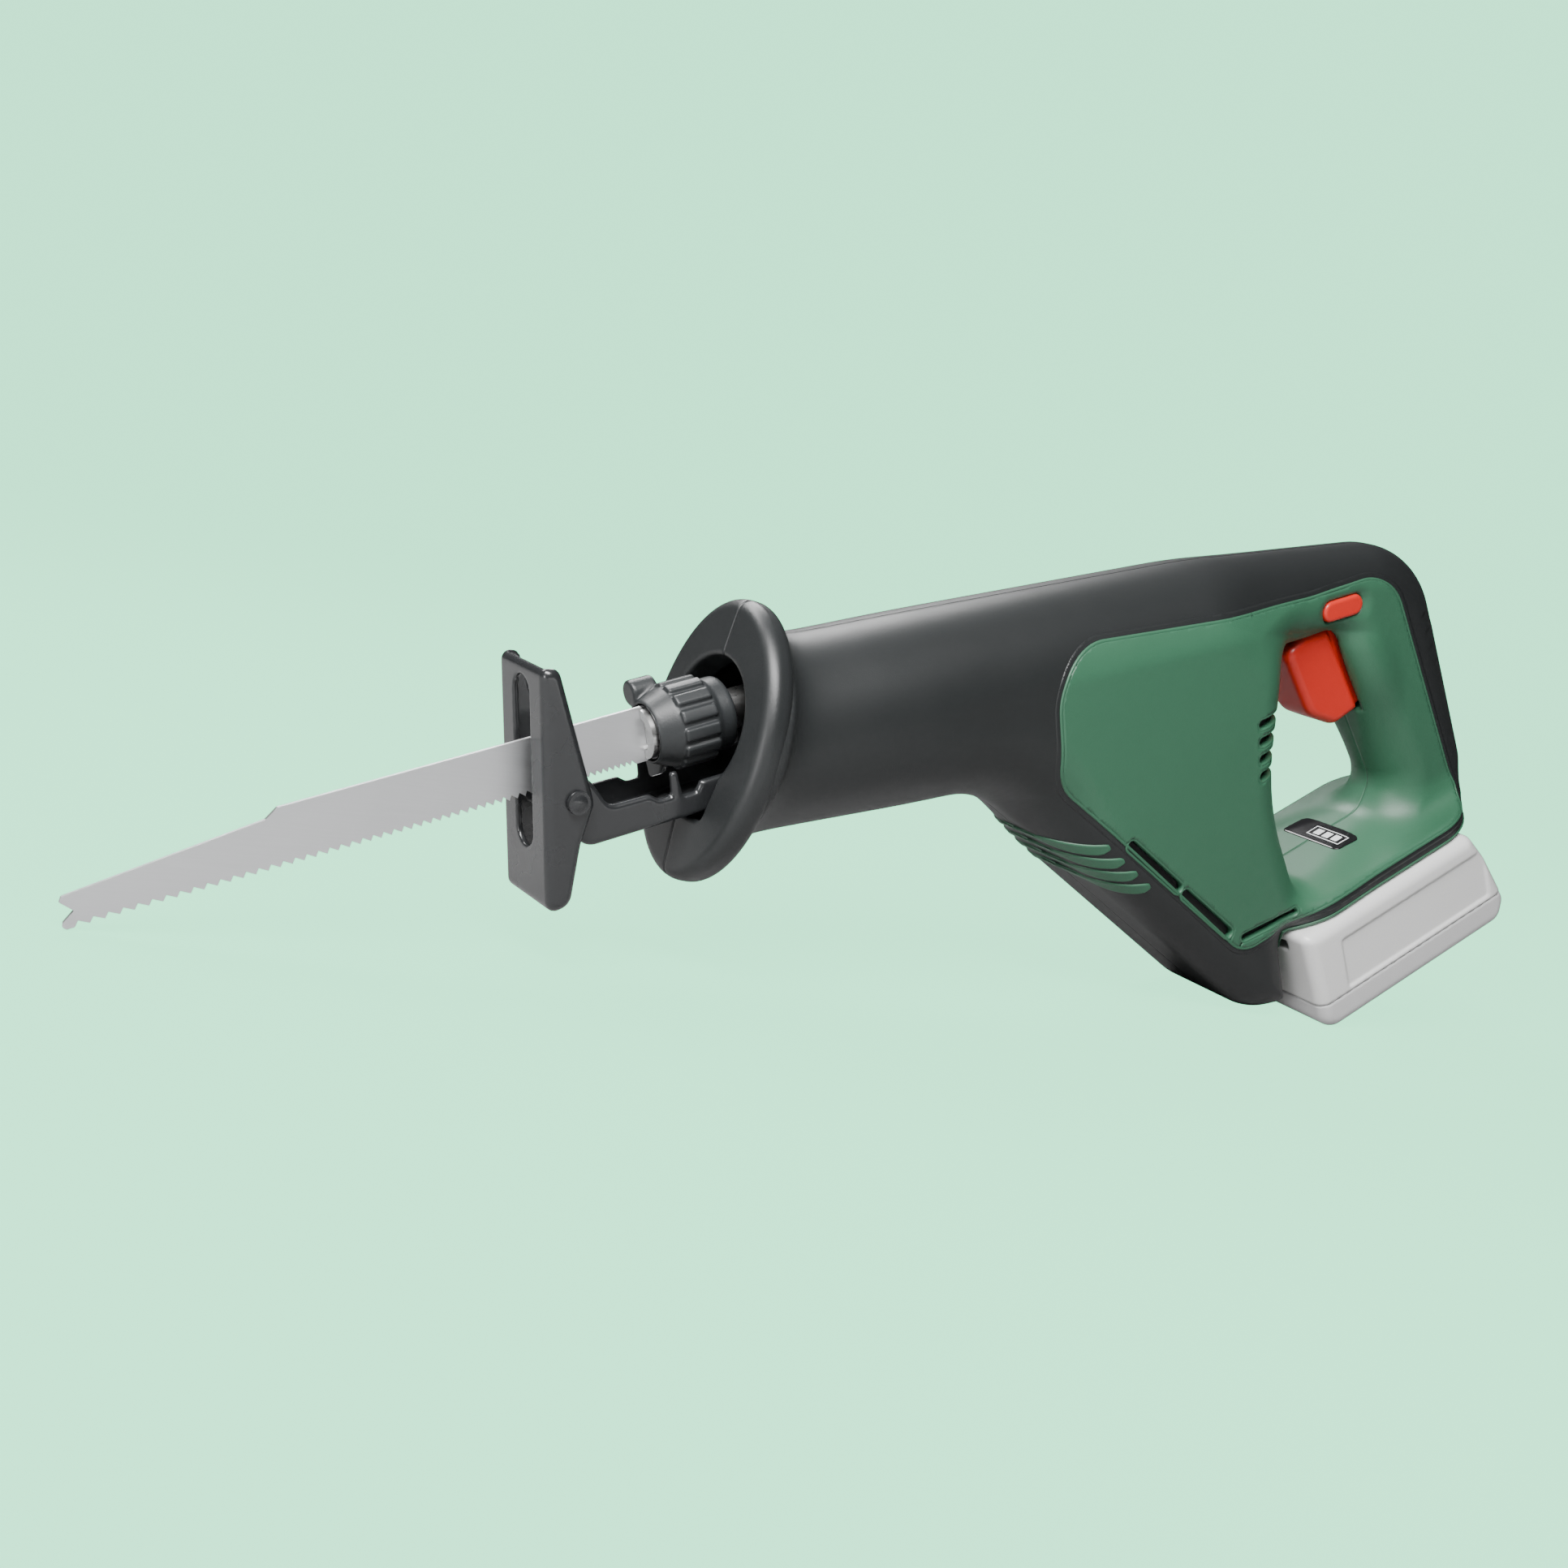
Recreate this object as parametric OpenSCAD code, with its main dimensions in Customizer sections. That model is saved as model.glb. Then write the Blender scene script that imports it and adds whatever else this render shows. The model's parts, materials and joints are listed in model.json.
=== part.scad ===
// Cordless reciprocating saw with its blade, shoe and slide-on battery pack.
// Everything is drawn in the tool's own axes: X runs along the blade towards the grip, Y across the tool,
// Z up, with the shoe pivot at X = 0 and the blade's middle line at Z = 0. in_tool() then stands the saw
// on its battery and its blade tip, as it rests on a bench.

/* [Blade] */
// Length of the blade with its tang
blade_length = 200; // [150:1:260]
// Width from the spine to the tooth tips
blade_width = 17.8; // [15:0.1:22]
// Thickness of the blade
blade_thickness = 1.25; // [0.9:0.05:1.6]
// Length of the tapered end
blade_taper = 60; // [40:1:80]
// Width of the blade at its tip
blade_tip_width = 9.6; // [7:0.1:12]
// Length of the tang held in the clamp
tang_length = 19; // [15:0.5:24]
// Width of the tang
tang_width = 12.6; // [10:0.1:13]
// Tooth pitch next to the tang
fine_pitch = 1.9; // [1.4:0.1:2.4]
// Tooth pitch at the tip
coarse_pitch = 4.2; // [3:0.1:5]
// Depth of the teeth
tooth_depth = 1.6; // [1:0.1:2]

/* [Drive] */
// Stroke of the blade
stroke = 28; // [20:1:30]
// Radius of the plunger rod
rod_r = 6.5; // [5.5:0.1:7.2]
// Wall of the two plunger bushes
bush_wall = 2.2; // [1.5:0.1:3]
// Length of each bush
bush_length = 8; // [6:0.5:9]
// Radial clearance of running fits
running_fit = 0.05; // [0.02:0.01:0.1]
// Distance from the shoe pivot to the crank pin at its foremost
pin_front_x = 108; // [107:1:116]
// Teeth on the face gear
gear_teeth = 40; // [30:5:50]
// Teeth on the motor pinion
pinion_teeth = 8; // [8:1:10]
// Outer radius of the face gear
gear_r = 24.4; // [23.5:0.1:24.6]
// Width of the gear's toothed ring
gear_face = 3.6; // [3:0.1:4]
// Thickness of the gear's disc
gear_disc = 3.5; // [2.5:0.5:4.5]
// Radius of the crank axle
axle_r = 4; // [3:0.1:5]
// Radius of the roller on the crank pin
roller_r = 3.5; // [3:0.1:4]
// Radius of the motor
motor_r = 18; // [15:0.5:18]
// Length of the motor can
motor_length = 56; // [45:1:58]
// Radius of the motor shaft
shaft_r = 2; // [1.5:0.1:2.4]

/* [Clamp] */
// Distance from the shoe pivot to the front of the blade clamp
clamp_x = 32; // [28:1:36]
// Length of the clamp collar
collar_length = 28; // [24:0.5:30]
// Radius of the clamp collar over its ribs
collar_r = 14; // [12:0.1:14.2]
// Ribs round the collar
collar_ribs = 14; // [8:1:20]

/* [Shoe] */
// Height of the shoe
shoe_height = 77; // [60:1:90]
// Width of the shoe
shoe_width = 32; // [30:0.5:40]
// Thickness of the shoe's sheet
shoe_sheet = 2; // [1.5:0.1:2.5]
// Height of the slot the blade runs in
slot_height = 54; // [44:1:58]
// Width of that slot
slot_width = 11.5; // [8:0.5:14]
// Lean of the shoe from square at rest
shoe_lean = 7.3; // [0:0.1:12]
// Distance of the shoe's face ahead of its pivot
shoe_reach = 10.5; // [9.5:0.5:14]
// Depth of the pivot below the blade's middle line
pivot_drop = 9.6; // [8:0.1:12]
// Radius of the pivot rivets
rivet_r = 2.5; // [2:0.1:3]
// Width of the support arm
arm_width = 25; // [22:0.5:26]
// Thickness of the arm's sheet
arm_sheet = 2; // [1.5:0.1:2.5]

/* [Guard] */
// Width of the hand guard
guard_width = 71; // [66:1:80]
// Height of the hand guard along its face
guard_height = 93; // [86:1:100]
// Thickness of the hand guard
guard_thick = 12; // [8:0.5:14]
// Lean of the guard's face from square
guard_lean = 26; // [15:0.5:30]
// Distance from the shoe pivot to the middle of the guard's face
guard_x = 50.5; // [48:0.5:54]
// Radius of the round opening in the guard
guard_hole_r = 22; // [20:0.5:24]

/* [Housing] */
// Radius of the barrel
barrel_r = 31.5; // [31:0.1:38]
// Fall of the barrel towards the grip
barrel_pitch = 5.3; // [3:0.1:6]
// Wall of the hard shells
wall = 2.5; // [1.8:0.1:3]
// Thickness of the soft skin
skin = 1.6; // [1:0.1:2]
// Gap between the skin and the bare panel
panel_gap = 0.3; // [0.2:0.05:0.6]
// Width of the body round the motor
body_width = 61; // [58:1:70]
// Width of the grip
grip_width = 33; // [30:0.5:40]
// Width of the foot over the battery
foot_width = 70; // [62:1:76]
// Height of the foot's flared edge
foot_edge = 9; // [7:0.5:12]
// Distance from the shoe pivot to the back of the grip
grip_x = 389; // [382:1:400]
// Distance from the shoe pivot to the lowest part of the chin
chin_x = 261; // [255:1:266]
// Depth of the chin below the blade's middle line
chin_drop = 172; // [165:1:174]

/* [Controls] */
// Travel of the trigger
trigger_travel = 8; // [5:0.5:9]
// Width of the trigger
trigger_width = 19; // [15:0.5:20]
// Length of the lock-off button
lock_length = 20; // [16:0.5:22]
// Height of the lock-off button
lock_height = 8; // [6:0.5:8.5]
// Travel of the lock-off button
lock_travel = 3; // [2:0.5:4]
// Clearance round buttons in their holes
button_gap = 0.4; // [0.3:0.05:0.6]

/* [Battery] */
// Length of the battery pack
pack_length = 106; // [100:1:125]
// Width of the battery pack
pack_width = 74; // [72:1:84]
// Height of the battery pack
pack_height = 46; // [44:1:60]
// Rise of the battery rails towards the back
pack_pitch = 10.5; // [6:0.5:14]
// Gap between the pack and the tool
pack_gap = 0.4; // [0.3:0.1:0.8]
// Radius of one cell
cell_r = 9; // [8.5:0.1:9.2]
// Length of one cell
cell_length = 65; // [60:0.5:66]

/* [Hidden] */
eps = 0.01;
$fn = 48;

// Places along the tool
crank_x = pin_front_x + stroke / 2;
tip_x = clamp_x + tang_length - blade_length;
rod_back = crank_x + 5;
holder_back = clamp_x + 24;
pin_x = clamp_x + tang_length - 6;
spring_wire = 0.6;
spring_pitch = 1.7;
spring_turns = 2.5;
spring_end = holder_back + 1 + spring_turns * spring_pitch + spring_wire;
case_front = max(clamp_x + collar_length, spring_end) + stroke / 2 + 1.5;
gear_mid_r = gear_r - gear_face / 2;
tooth_pitch = 2 * PI * gear_mid_r / gear_teeth;
pinion_r = gear_mid_r * pinion_teeth / gear_teeth;
tooth_add = tooth_pitch / PI * 0.95;
gear_top = -17.7;
pitch_z = gear_top - gear_disc - tooth_add * 1.1;
shaft_z = pitch_z - pinion_r;
case_bottom = shaft_z - pinion_r - tooth_add - 4;
yoke_z = gear_top + 5.4;
yoke_thick = -rod_r - yoke_z + 2;
yoke_half = roller_r + 2.3;
motor_x = crank_x + gear_r + 5.6;
case_back = motor_x - 1;
case_x0 = crank_x - gear_r - 2.6;
case_r = barrel_r - skin - wall - 0.3;
bush_r = rod_r + bush_wall;
split_z = -bush_r - 3.5;

// The barrel's axis falls towards the grip from this point
barrel_x = 90;
barrel_z = -12.6;
function axis_z(x) = barrel_z - tan(barrel_pitch) * (x - barrel_x);
function crown(x) = axis_z(x) + barrel_r / cos(barrel_pitch);
function belly(x) = axis_z(x) - barrel_r / cos(barrel_pitch);

// A closed outline whose corners [x, z, r] are rounded to radius r by arcs of n steps
function unit(v) = v / norm(v);
function turn(a, b) = a[0] * b[1] - a[1] * b[0];
function corner(a, p, b, r, n) =
    let (u = unit([a[0] - p[0], a[1] - p[1]]), v = unit([b[0] - p[0], b[1] - p[1]]),
         half = acos(max(-1, min(1, u * v))) / 2, mid = unit(u + v),
         room = min(norm([a[0] - p[0], a[1] - p[1]]), norm([b[0] - p[0], b[1] - p[1]])),
         q = min(r, 0.48 * room * tan(half)), c = [p[0], p[1]] + mid * (q / sin(half)),
         s = turn(u, v) > 0 ? 1 : -1, sweep = 180 - 2 * half,
         start = atan2(-mid[1], -mid[0]) - s * sweep / -2)
    r <= 0 || half > 89.5 ? [[p[0], p[1]]] :
    [for (i = [0:n]) c + q * [cos(start - s * sweep * i / n), sin(start - s * sweep * i / n)]];
function rounded(P, n = 4) = let (m = len(P))
    [for (i = [0:m - 1]) each corner(P[(i + m - 1) % m], P[i], P[(i + 1) % m], P[i][2], n)];

// The same corners moved inwards by d, for an outline drawn clockwise; a negative d moves them outwards
function edge_normal(a, b) = let (e = unit([b[0] - a[0], b[1] - a[1]])) [e[1], -e[0]];
function inset(P, d) = let (m = len(P))
    [for (i = [0:m - 1])
        let (a = P[(i + m - 1) % m], p = P[i], b = P[(i + 1) % m], na = edge_normal(a, p),
             nb = edge_normal(p, b), q = (na + nb) / (1 + na * nb), convex = turn(na, nb) < 0)
        [p[0] + d * q[0], p[1] + d * q[1], p[2] <= 0 ? 0 : max(0.4, p[2] + (convex ? -d : d))]];

// Battery axes: u runs back along the rails, w up from the foot's underside
foot_x = 277;
foot_z = -139;
function on_pack(u, w) = [foot_x + u * cos(pack_pitch) - w * sin(pack_pitch),
    foot_z + u * sin(pack_pitch) + w * cos(pack_pitch)];
function pack_corner(u, w, r) = [on_pack(u, w)[0], on_pack(u, w)[1], r];

// The grip's front runs down from this point, leaning back
hinge_x = 318;
hinge_z = -36;
grip_lean = 24;
function grip_front(down) = [hinge_x + cos(grip_lean) + down * sin(grip_lean),
    hinge_z + sin(grip_lean) - down * cos(grip_lean)];

// Side outlines of the body, the motor bay, the grip opening, the bare panel and the foot
neck_x = 132;
throat_x = 150.5;
// The body's slabs end this far inside the barrel's crown and belly
tuck = 1.2;
heel_x = grip_x - 25;
bridge = 7;
deck = max(bridge, foot_edge);
foot_back = (grip_x - foot_x) / cos(pack_pitch) - 3;
body_corners = [[neck_x, crown(neck_x) - tuck, 0], [265, 5.2, 250], [heel_x, -8, 36], [grip_x, -104, 24],
    pack_corner(foot_back, 0, 5), pack_corner(-1, 0, 0), pack_corner(-3, -36, 4),
    [chin_x, -chin_drop, 30], [throat_x, belly(throat_x) + tuck, 22], [neck_x, belly(neck_x) + tuck, 0]];
bay_corners = [[neck_x + 20, crown(neck_x + 20) - 2 * tuck, 0], [262, 4.4, 90], [283, -20, 20], [275, -84, 60],
    [283, -128, 30], pack_corner(-1, 0, 0), pack_corner(-3, -36, 4), [chin_x, -chin_drop, 30],
    [throat_x + 4, belly(throat_x) + 2 * tuck, 22]];
opening_corners = [[283, -30, 12], [grip_front(0)[0], grip_front(0)[1], 7],
    [grip_front(70)[0], grip_front(70)[1], 13], pack_corner(69, bridge, 9), pack_corner(11, bridge, 8),
    [275, -82, 70]];
panel_corners = [[170.5, 0, 30], [300, -13, 60], [342, -13, 18], [grip_x - 15, -103, 12],
    pack_corner(foot_back - 17, 5, 12), pack_corner(9, 4.6, 8), [247, -138, 14], [170.5, -50, 20]];
foot_corners = [pack_corner(0, 0, 0), pack_corner(1, foot_edge, 3), pack_corner(foot_back - 8, foot_edge, 6),
    pack_corner(foot_back - 4, 0, 0)];
pack_corners = [pack_corner(0, -pack_gap, 3), pack_corner(pack_length - 15, -pack_gap, 5),
    pack_corner(pack_length - 8, -14, 6), pack_corner(pack_length, 9 - pack_height, 5),
    pack_corner(pack_length - 4, -pack_height, 8), pack_corner(3, -pack_height, 8)];

// The saw rests on the tip of its blade and on the lowest corner of its battery
tip_z = -blade_width / 2;
function stance_of(p) = atan2(tip_z - p[1], p[0] - tip_x);
stance = max([for (p = rounded(pack_corners)) stance_of(p)]);
function bench_x(p) = p[0] * cos(stance) - p[1] * sin(stance);
function bench_z(p) = p[0] * sin(stance) + p[1] * cos(stance);
low_z = bench_z([tip_x, tip_z]);
left_x = bench_x([tip_x + 0.6, tip_z + blade_tip_width]);
right_x = max([for (p = concat(rounded(body_corners), rounded(pack_corners))) bench_x(p)]);
mid_x = (min(bench_x([tip_x, tip_z]), left_x) + right_x) / 2;

// Places the tool's axes on the bench, and the battery's and the guard's axes in the tool's
module in_tool() { translate([-mid_x, 0, -low_z]) rotate([0, -stance, 0]) children(); }
module in_pack() { translate([foot_x, 0, foot_z]) rotate([0, -pack_pitch, 0]) children(); }
module in_guard() { translate([guard_x, 0, -6]) rotate([0, guard_lean, 0]) children(); }
module in_barrel() { translate([barrel_x, 0, barrel_z]) rotate([0, barrel_pitch, 0]) children(); }
module in_shoe() { translate([0, 0, -pivot_drop]) rotate([0, shoe_lean, 0]) children(); }
module in_grip() { translate([hinge_x, 0, hinge_z]) rotate([0, -grip_lean, 0]) children(); }

// Shapes that repeat: a slab across the tool, rods along X, Y and Z, a tube, a half space, a pill
module slab(pts, half) { rotate([90, 0, 0]) linear_extrude(2 * half, center = true) polygon(pts); }
module rod_x(r, a, b) { translate([a, 0, 0]) rotate([0, 90, 0]) cylinder(r = r, h = b - a); }
module rod_y(r, a, b) { translate([0, b, 0]) rotate([90, 0, 0]) cylinder(r = r, h = b - a); }
module rod_z(r, a, b) { translate([0, 0, a]) cylinder(r = r, h = b - a); }
module tube_x(r, bore, a, b) { difference() { rod_x(r, a, b); rod_x(bore, a - 1, b + 1); } }
module block(x, y, z) { translate([x[0], y[0], z[0]]) cube([x[1] - x[0], y[1] - y[0], z[1] - z[0]]); }
module half(side) {
    intersection() {
        children();
        block([-300, 600], side < 0 ? [-90, 0] : [0, 90], [-320, 160]);
    }
}
module pill_y(length, height, a, b) {
    for (s = [-1, 1]) translate([s * (length - height) / 2, 0, 0]) rod_y(height / 2, a, b);
    block([-(length - height) / 2, (length - height) / 2], [a, b], [-height / 2, height / 2]);
}

// ---- Blade ----
// Teeth run from the tip to the tang, and each is a little finer than the last
teeth_run = blade_length - tang_length - 7;
tooth_count = floor(2 * teeth_run / (fine_pitch + coarse_pitch));
function tooth_at(i) = let (t = i / tooth_count)
    teeth_run * (2 * t * coarse_pitch + t * t * (fine_pitch - coarse_pitch)) / (fine_pitch + coarse_pitch);
module blade_shape() {
    w = blade_width / 2;
    from = tip_x + 3;
    teeth = [for (i = [0:tooth_count - 1]) each
        [[from + tooth_at(i), -w], [from + 0.7 * tooth_at(i) + 0.3 * tooth_at(i + 1), tooth_depth - w]]];
    polygon(concat([[tip_x, 0.8 - w], [tip_x + 0.8, -w]], teeth, [[from + teeth_run, -w], [clamp_x, -w],
        [clamp_x + 1, -tang_width / 2],
        [clamp_x + tang_length, -tang_width / 2], [clamp_x + tang_length, tang_width / 2],
        [clamp_x + 1, tang_width / 2], [clamp_x, w], [tip_x + blade_taper + 4, w],
        [tip_x + blade_taper, w - 2.6], [tip_x + 1.5, blade_tip_width - w],
        [tip_x + 0.6, blade_tip_width - w - 1.5], [tip_x + 3.8, 4.7 - w], [tip_x + 0.4, 2.2 - w]]));
}
module blade() color("silver") in_tool() {
    difference() {
        rotate([90, 0, 0]) linear_extrude(blade_thickness, center = true) blade_shape();
        translate([pin_x, 0, 0]) rod_y(pin_hole_r, -3, 3);
    }
}

// ---- Blade clamp ----
holder_r = rod_r + 2.1;
core_r = holder_r + 0.6;
pin_hole_r = 2.2;
tang_gap = 0.15;
neck_r = rod_r - 1.5;
neck_length = 3;
module tang_slot(gap) {
    block([clamp_x - 1, clamp_x + tang_length + gap], [-blade_thickness / 2 - gap, blade_thickness / 2 + gap],
        [-tang_width / 2 - gap, tang_width / 2 + gap]);
}
module blade_holder() color("dimgray") in_tool() {
    difference() {
        rod_x(holder_r, clamp_x + 1.5, holder_back);
        tang_slot(tang_gap);
        rod_x(neck_r, holder_back - neck_length, holder_back + 1);
        translate([pin_x, 0, 0]) rod_y(pin_hole_r, -holder_r - 1, holder_r + 1);
    }
}
module clamp_pin() color("gainsboro") in_tool() {
    translate([pin_x, 0, 0]) rod_y(pin_hole_r - running_fit, -holder_r + 0.3, holder_r - 0.3);
}
module holder_ring() color("silver") in_tool() {
    difference() {
        rod_x(holder_r - 0.4, clamp_x - 0.6, clamp_x + 1.5);
        block([clamp_x - 2, clamp_x + 3], [-blade_thickness / 2 - tang_gap, blade_thickness / 2 + tang_gap],
            [-blade_width / 2 - tang_gap, blade_width / 2 + tang_gap]);
        rod_x(holder_r - 3.4, clamp_x - 2, clamp_x + 0.4);
    }
}
lug_turn = 42;
// The front cone, the ribbed barrel and the smooth rear band turn together, with a lug to push with a thumb
module clamp_collar() color("#3a3e40") in_tool() {
    back = clamp_x + collar_length;
    difference() {
        union() {
            translate([clamp_x, 0, 0]) rotate([0, 90, 0]) cylinder(r1 = collar_r - 4, r2 = collar_r - 1, h = 8);
            rod_x(collar_r - 0.8, clamp_x + 8, back - 8);
            rod_x(collar_r - 1.4, back - 8, back);
            for (i = [0:collar_ribs - 1]) rotate([360 * i / collar_ribs, 0, 0])
                block([clamp_x + 8.5, back - 8.5], [-1.3, 1.3], [collar_r - 2, collar_r]);
            rotate([-lug_turn, 0, 0]) translate([0, 0, collar_r]) rod_x(4.5, clamp_x + 1, clamp_x + 10);
        }
        rod_x(core_r, clamp_x - 1, back + 1);
    }
}
// A closed wire swept along a coil about X
function coil_ring(r, pitch, wire, a, sides) = [for (j = [0:sides - 1]) let (q = 360 * j / sides)
    [pitch * a / 360 + wire * sin(q), (r + wire * cos(q)) * cos(a), (r + wire * cos(q)) * sin(a)]];
module coil_x(r, pitch, wire, turns, sides = 6, steps = 14) {
    n = turns * steps;
    points = [for (i = [0:n]) each coil_ring(r, pitch, wire, 360 * i / steps, sides)];
    sides_faces = [for (i = [0:n - 1], j = [0:sides - 1]) let (k = (j + 1) % sides)
        [i * sides + j, i * sides + k, (i + 1) * sides + k, (i + 1) * sides + j]];
    polyhedron(points, concat([[for (j = [sides - 1:-1:0]) j]], sides_faces,
        [[for (j = [0:sides - 1]) n * sides + j]]), convexity = 6);
}
module collar_spring() color("slategray") in_tool() {
    translate([holder_back + 1, 0, 0])
        coil_x(rod_r + spring_wire + 0.3, spring_pitch, spring_wire, spring_turns);
}

// ---- Plunger and its bushes ----
// The yoke under the rod has a slot across the tool, as long as the roller sweeps
roller_gap = 0.2;
yoke_reach = stroke / 2 + roller_r + roller_gap;
module plunger_rod() color("lightgray") in_tool() {
    difference() {
        union() {
            rod_x(neck_r, holder_back - neck_length, holder_back + 0.1);
            rod_x(rod_r, holder_back, rod_back);
            block([crank_x - yoke_half, crank_x + yoke_half], [-yoke_reach - 2.2, yoke_reach + 2.2],
                [yoke_z, yoke_z + yoke_thick - 2.2]);
            block([crank_x - yoke_half, crank_x + 5], [-rod_r + 1.5, rod_r - 1.5], [yoke_z, -rod_r + 2]);
        }
        block([crank_x - roller_r - roller_gap, crank_x + roller_r + roller_gap], [-yoke_reach, yoke_reach],
            [yoke_z - 1, -rod_r - 0.6]);
    }
}
module bush_at(x) color("peru") in_tool() { tube_x(bush_r, rod_r + running_fit, x, x + bush_length); }
front_bush_x = case_front + 3;
rear_bush_x = crank_x - stroke / 2 - yoke_half - bush_length - 1;
module front_bush() { bush_at(front_bush_x); }
module rear_bush() { bush_at(rear_bush_x); }
module shaft_seal() color("#202020") in_tool() {
    tube_x(bush_r + 1, rod_r + 0.3, case_front + 0.4, case_front + 3);
}

// ---- Gear case ----
module case_envelope() { in_barrel() rod_x(case_r, case_x0 - barrel_x - 5, case_back - barrel_x + 6); }
chamber_r = gear_r + 0.6;
module chamber() {
    translate([crank_x, 0, 0]) rod_z(chamber_r, pitch_z - tooth_add - 0.6, split_z + 2.6);
    block([crank_x - stroke / 2 - yoke_half - 1, crank_x + stroke / 2 + yoke_half + 1],
        [-yoke_reach - 3, yoke_reach + 3], [yoke_z - 4, -rod_r + 3]);
    translate([0, 0, shaft_z]) rod_x(pinion_r + tooth_add + 1, crank_x + 12, case_back + 1);
}
module gear_case() color("lightsteelblue") in_tool() {
    difference() {
        intersection() {
            case_envelope();
            block([case_x0, case_back], [-40, 40], [case_bottom, split_z]);
        }
        chamber();
        translate([crank_x, 0, 0]) rod_z(axle_r, -60, 0);
    }
    // Pad under the support arm
    difference() {
        block([case_front + 1, case_x0], [-arm_pad, arm_pad], [arm_web_top, arm_web_top + 5]);
        at_arm_screws() rod_z(arm_screw_r, -60, 0);
    }
}
module gear_case_cover() color("lightsteelblue") in_tool() {
    difference() {
        union() {
            intersection() {
                case_envelope();
                block([case_x0, case_back], [-40, 40], [split_z, rod_r + 5]);
            }
            rod_x(bush_r + 2.4, case_front, case_x0 + 1);
            block([case_front + 1, case_x0], [-arm_pad, arm_pad], [arm_web_top + 5, -bush_r]);
        }
        chamber();
        rod_x(bush_r, case_front + 3, rear_bush_x + bush_length);
        rod_x(bush_r + 1, case_front - 1, case_front + 3);
        rod_x(rod_r + 0.6, rear_bush_x, rod_back + stroke / 2 + 2);
        at_arm_screws() rod_z(arm_screw_r, -60, -bush_r - 1);
    }
}

// ---- Crank gear: a face gear over the pinion, with a pin and roller below the plunger's yoke ----
crank_pin_r = 1.8;
module crank_gear() color("gray") in_tool() {
    translate([crank_x, 0, 0]) difference() {
        union() {
            rod_z(gear_r, gear_top - gear_disc, gear_top);
            intersection() {
                for (i = [0:gear_teeth - 1]) rotate([0, 0, 360 * (i + 0.5) / gear_teeth])
                    block([gear_r - gear_face, gear_r + 1], [-tooth_pitch * 0.19, tooth_pitch * 0.19],
                        [pitch_z - tooth_add * 0.9, gear_top - 0.5]);
                rod_z(gear_r, -60, 0);
            }
        }
        rod_z(axle_r + running_fit, -60, 0);
        translate([0, stroke / 2, 0]) rod_z(crank_pin_r, -60, 0);
    }
}
module crank_axle() color("gainsboro") in_tool() {
    translate([crank_x, 0, 0]) rod_z(axle_r, case_bottom + 2, gear_top + 1);
}
// The pin and its roller stop just short of the yoke's slot
pin_top = yoke_z - 0.5;
module crank_pin() color("gainsboro") in_tool() {
    translate([crank_x, stroke / 2, 0]) rod_z(crank_pin_r, gear_top - gear_disc + 0.4, pin_top);
}
module crank_roller() color("silver") in_tool() {
    translate([crank_x, stroke / 2, 0]) difference() {
        rod_z(roller_r, gear_top + 0.4, pin_top - 0.4);
        rod_z(crank_pin_r + running_fit, -60, 0);
    }
}

// ---- Motor ----
motor_back = motor_x + motor_length;
can_wall = 1.5;
magnet_thick = 3;
commutator_r = 6;
bearing_r = 5.5;
bearing_length = 4;
module on_shaft() { in_tool() translate([0, 0, shaft_z]) children(); }
module motor_can() color("darkgray") on_shaft() {
    difference() {
        rod_x(motor_r, motor_x, motor_back);
        rod_x(motor_r - can_wall, motor_x + can_wall, motor_back + 1);
        rod_x(bearing_r + 0.1, motor_x - 1, motor_x + 3);
        for (a = [45:90:315]) rotate([a, 0, 0]) block([motor_x - 1, motor_x + 2], [-3, 3], [9, 13]);
    }
}
module motor_magnets() color("#303234") on_shaft() {
    difference() {
        tube_x(motor_r - can_wall, motor_r - can_wall - magnet_thick, motor_x + 8, motor_back - 16);
        block([motor_x, motor_back], [-4, 4], [-40, 40]);
    }
}
module motor_end_cap() color("#26282a") on_shaft() {
    difference() {
        union() {
            rod_x(motor_r, motor_back, motor_back + 3);
            rod_x(motor_r - can_wall - 0.1, motor_back - 2, motor_back);
            rod_x(8, motor_back, motor_back + 7);
        }
        rod_x(bearing_r, motor_back - 3, motor_back + 8);
        for (s = [0, 1]) mirror([0, s, 0]) block([motor_back - 3, motor_back + 4], [9, 14], [-3, 3]);
    }
}
module carbon_brushes() color("#1c1c1c") on_shaft() {
    inner = commutator_r + 0.2;
    for (s = [0, 1]) mirror([0, s, 0])
        block([motor_back - 12, motor_back - 6], [inner, inner + 6.3], [-2.2, 2.2]);
}
module rotor_shaft() color("gainsboro") on_shaft() {
    rod_x(shaft_r, crank_x + gear_r - gear_face, motor_back + 16);
}
module armature() color("peru") on_shaft() {
    difference() {
        union() {
            rod_x(motor_r - can_wall - magnet_thick - 0.7, motor_x + 10, motor_back - 20);
            rod_x(motor_r - can_wall - magnet_thick - 3.5, motor_x + 7, motor_back - 15);
        }
        rod_x(shaft_r, 0, 400);
        for (i = [0:4]) rotate([72 * i, 0, 0]) block([motor_x, motor_back - 15], [-1, 1], [8, 20]);
    }
}
module commutator() color("chocolate") on_shaft() {
    tube_x(commutator_r, shaft_r, motor_back - 14, motor_back - 4);
}
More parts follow.
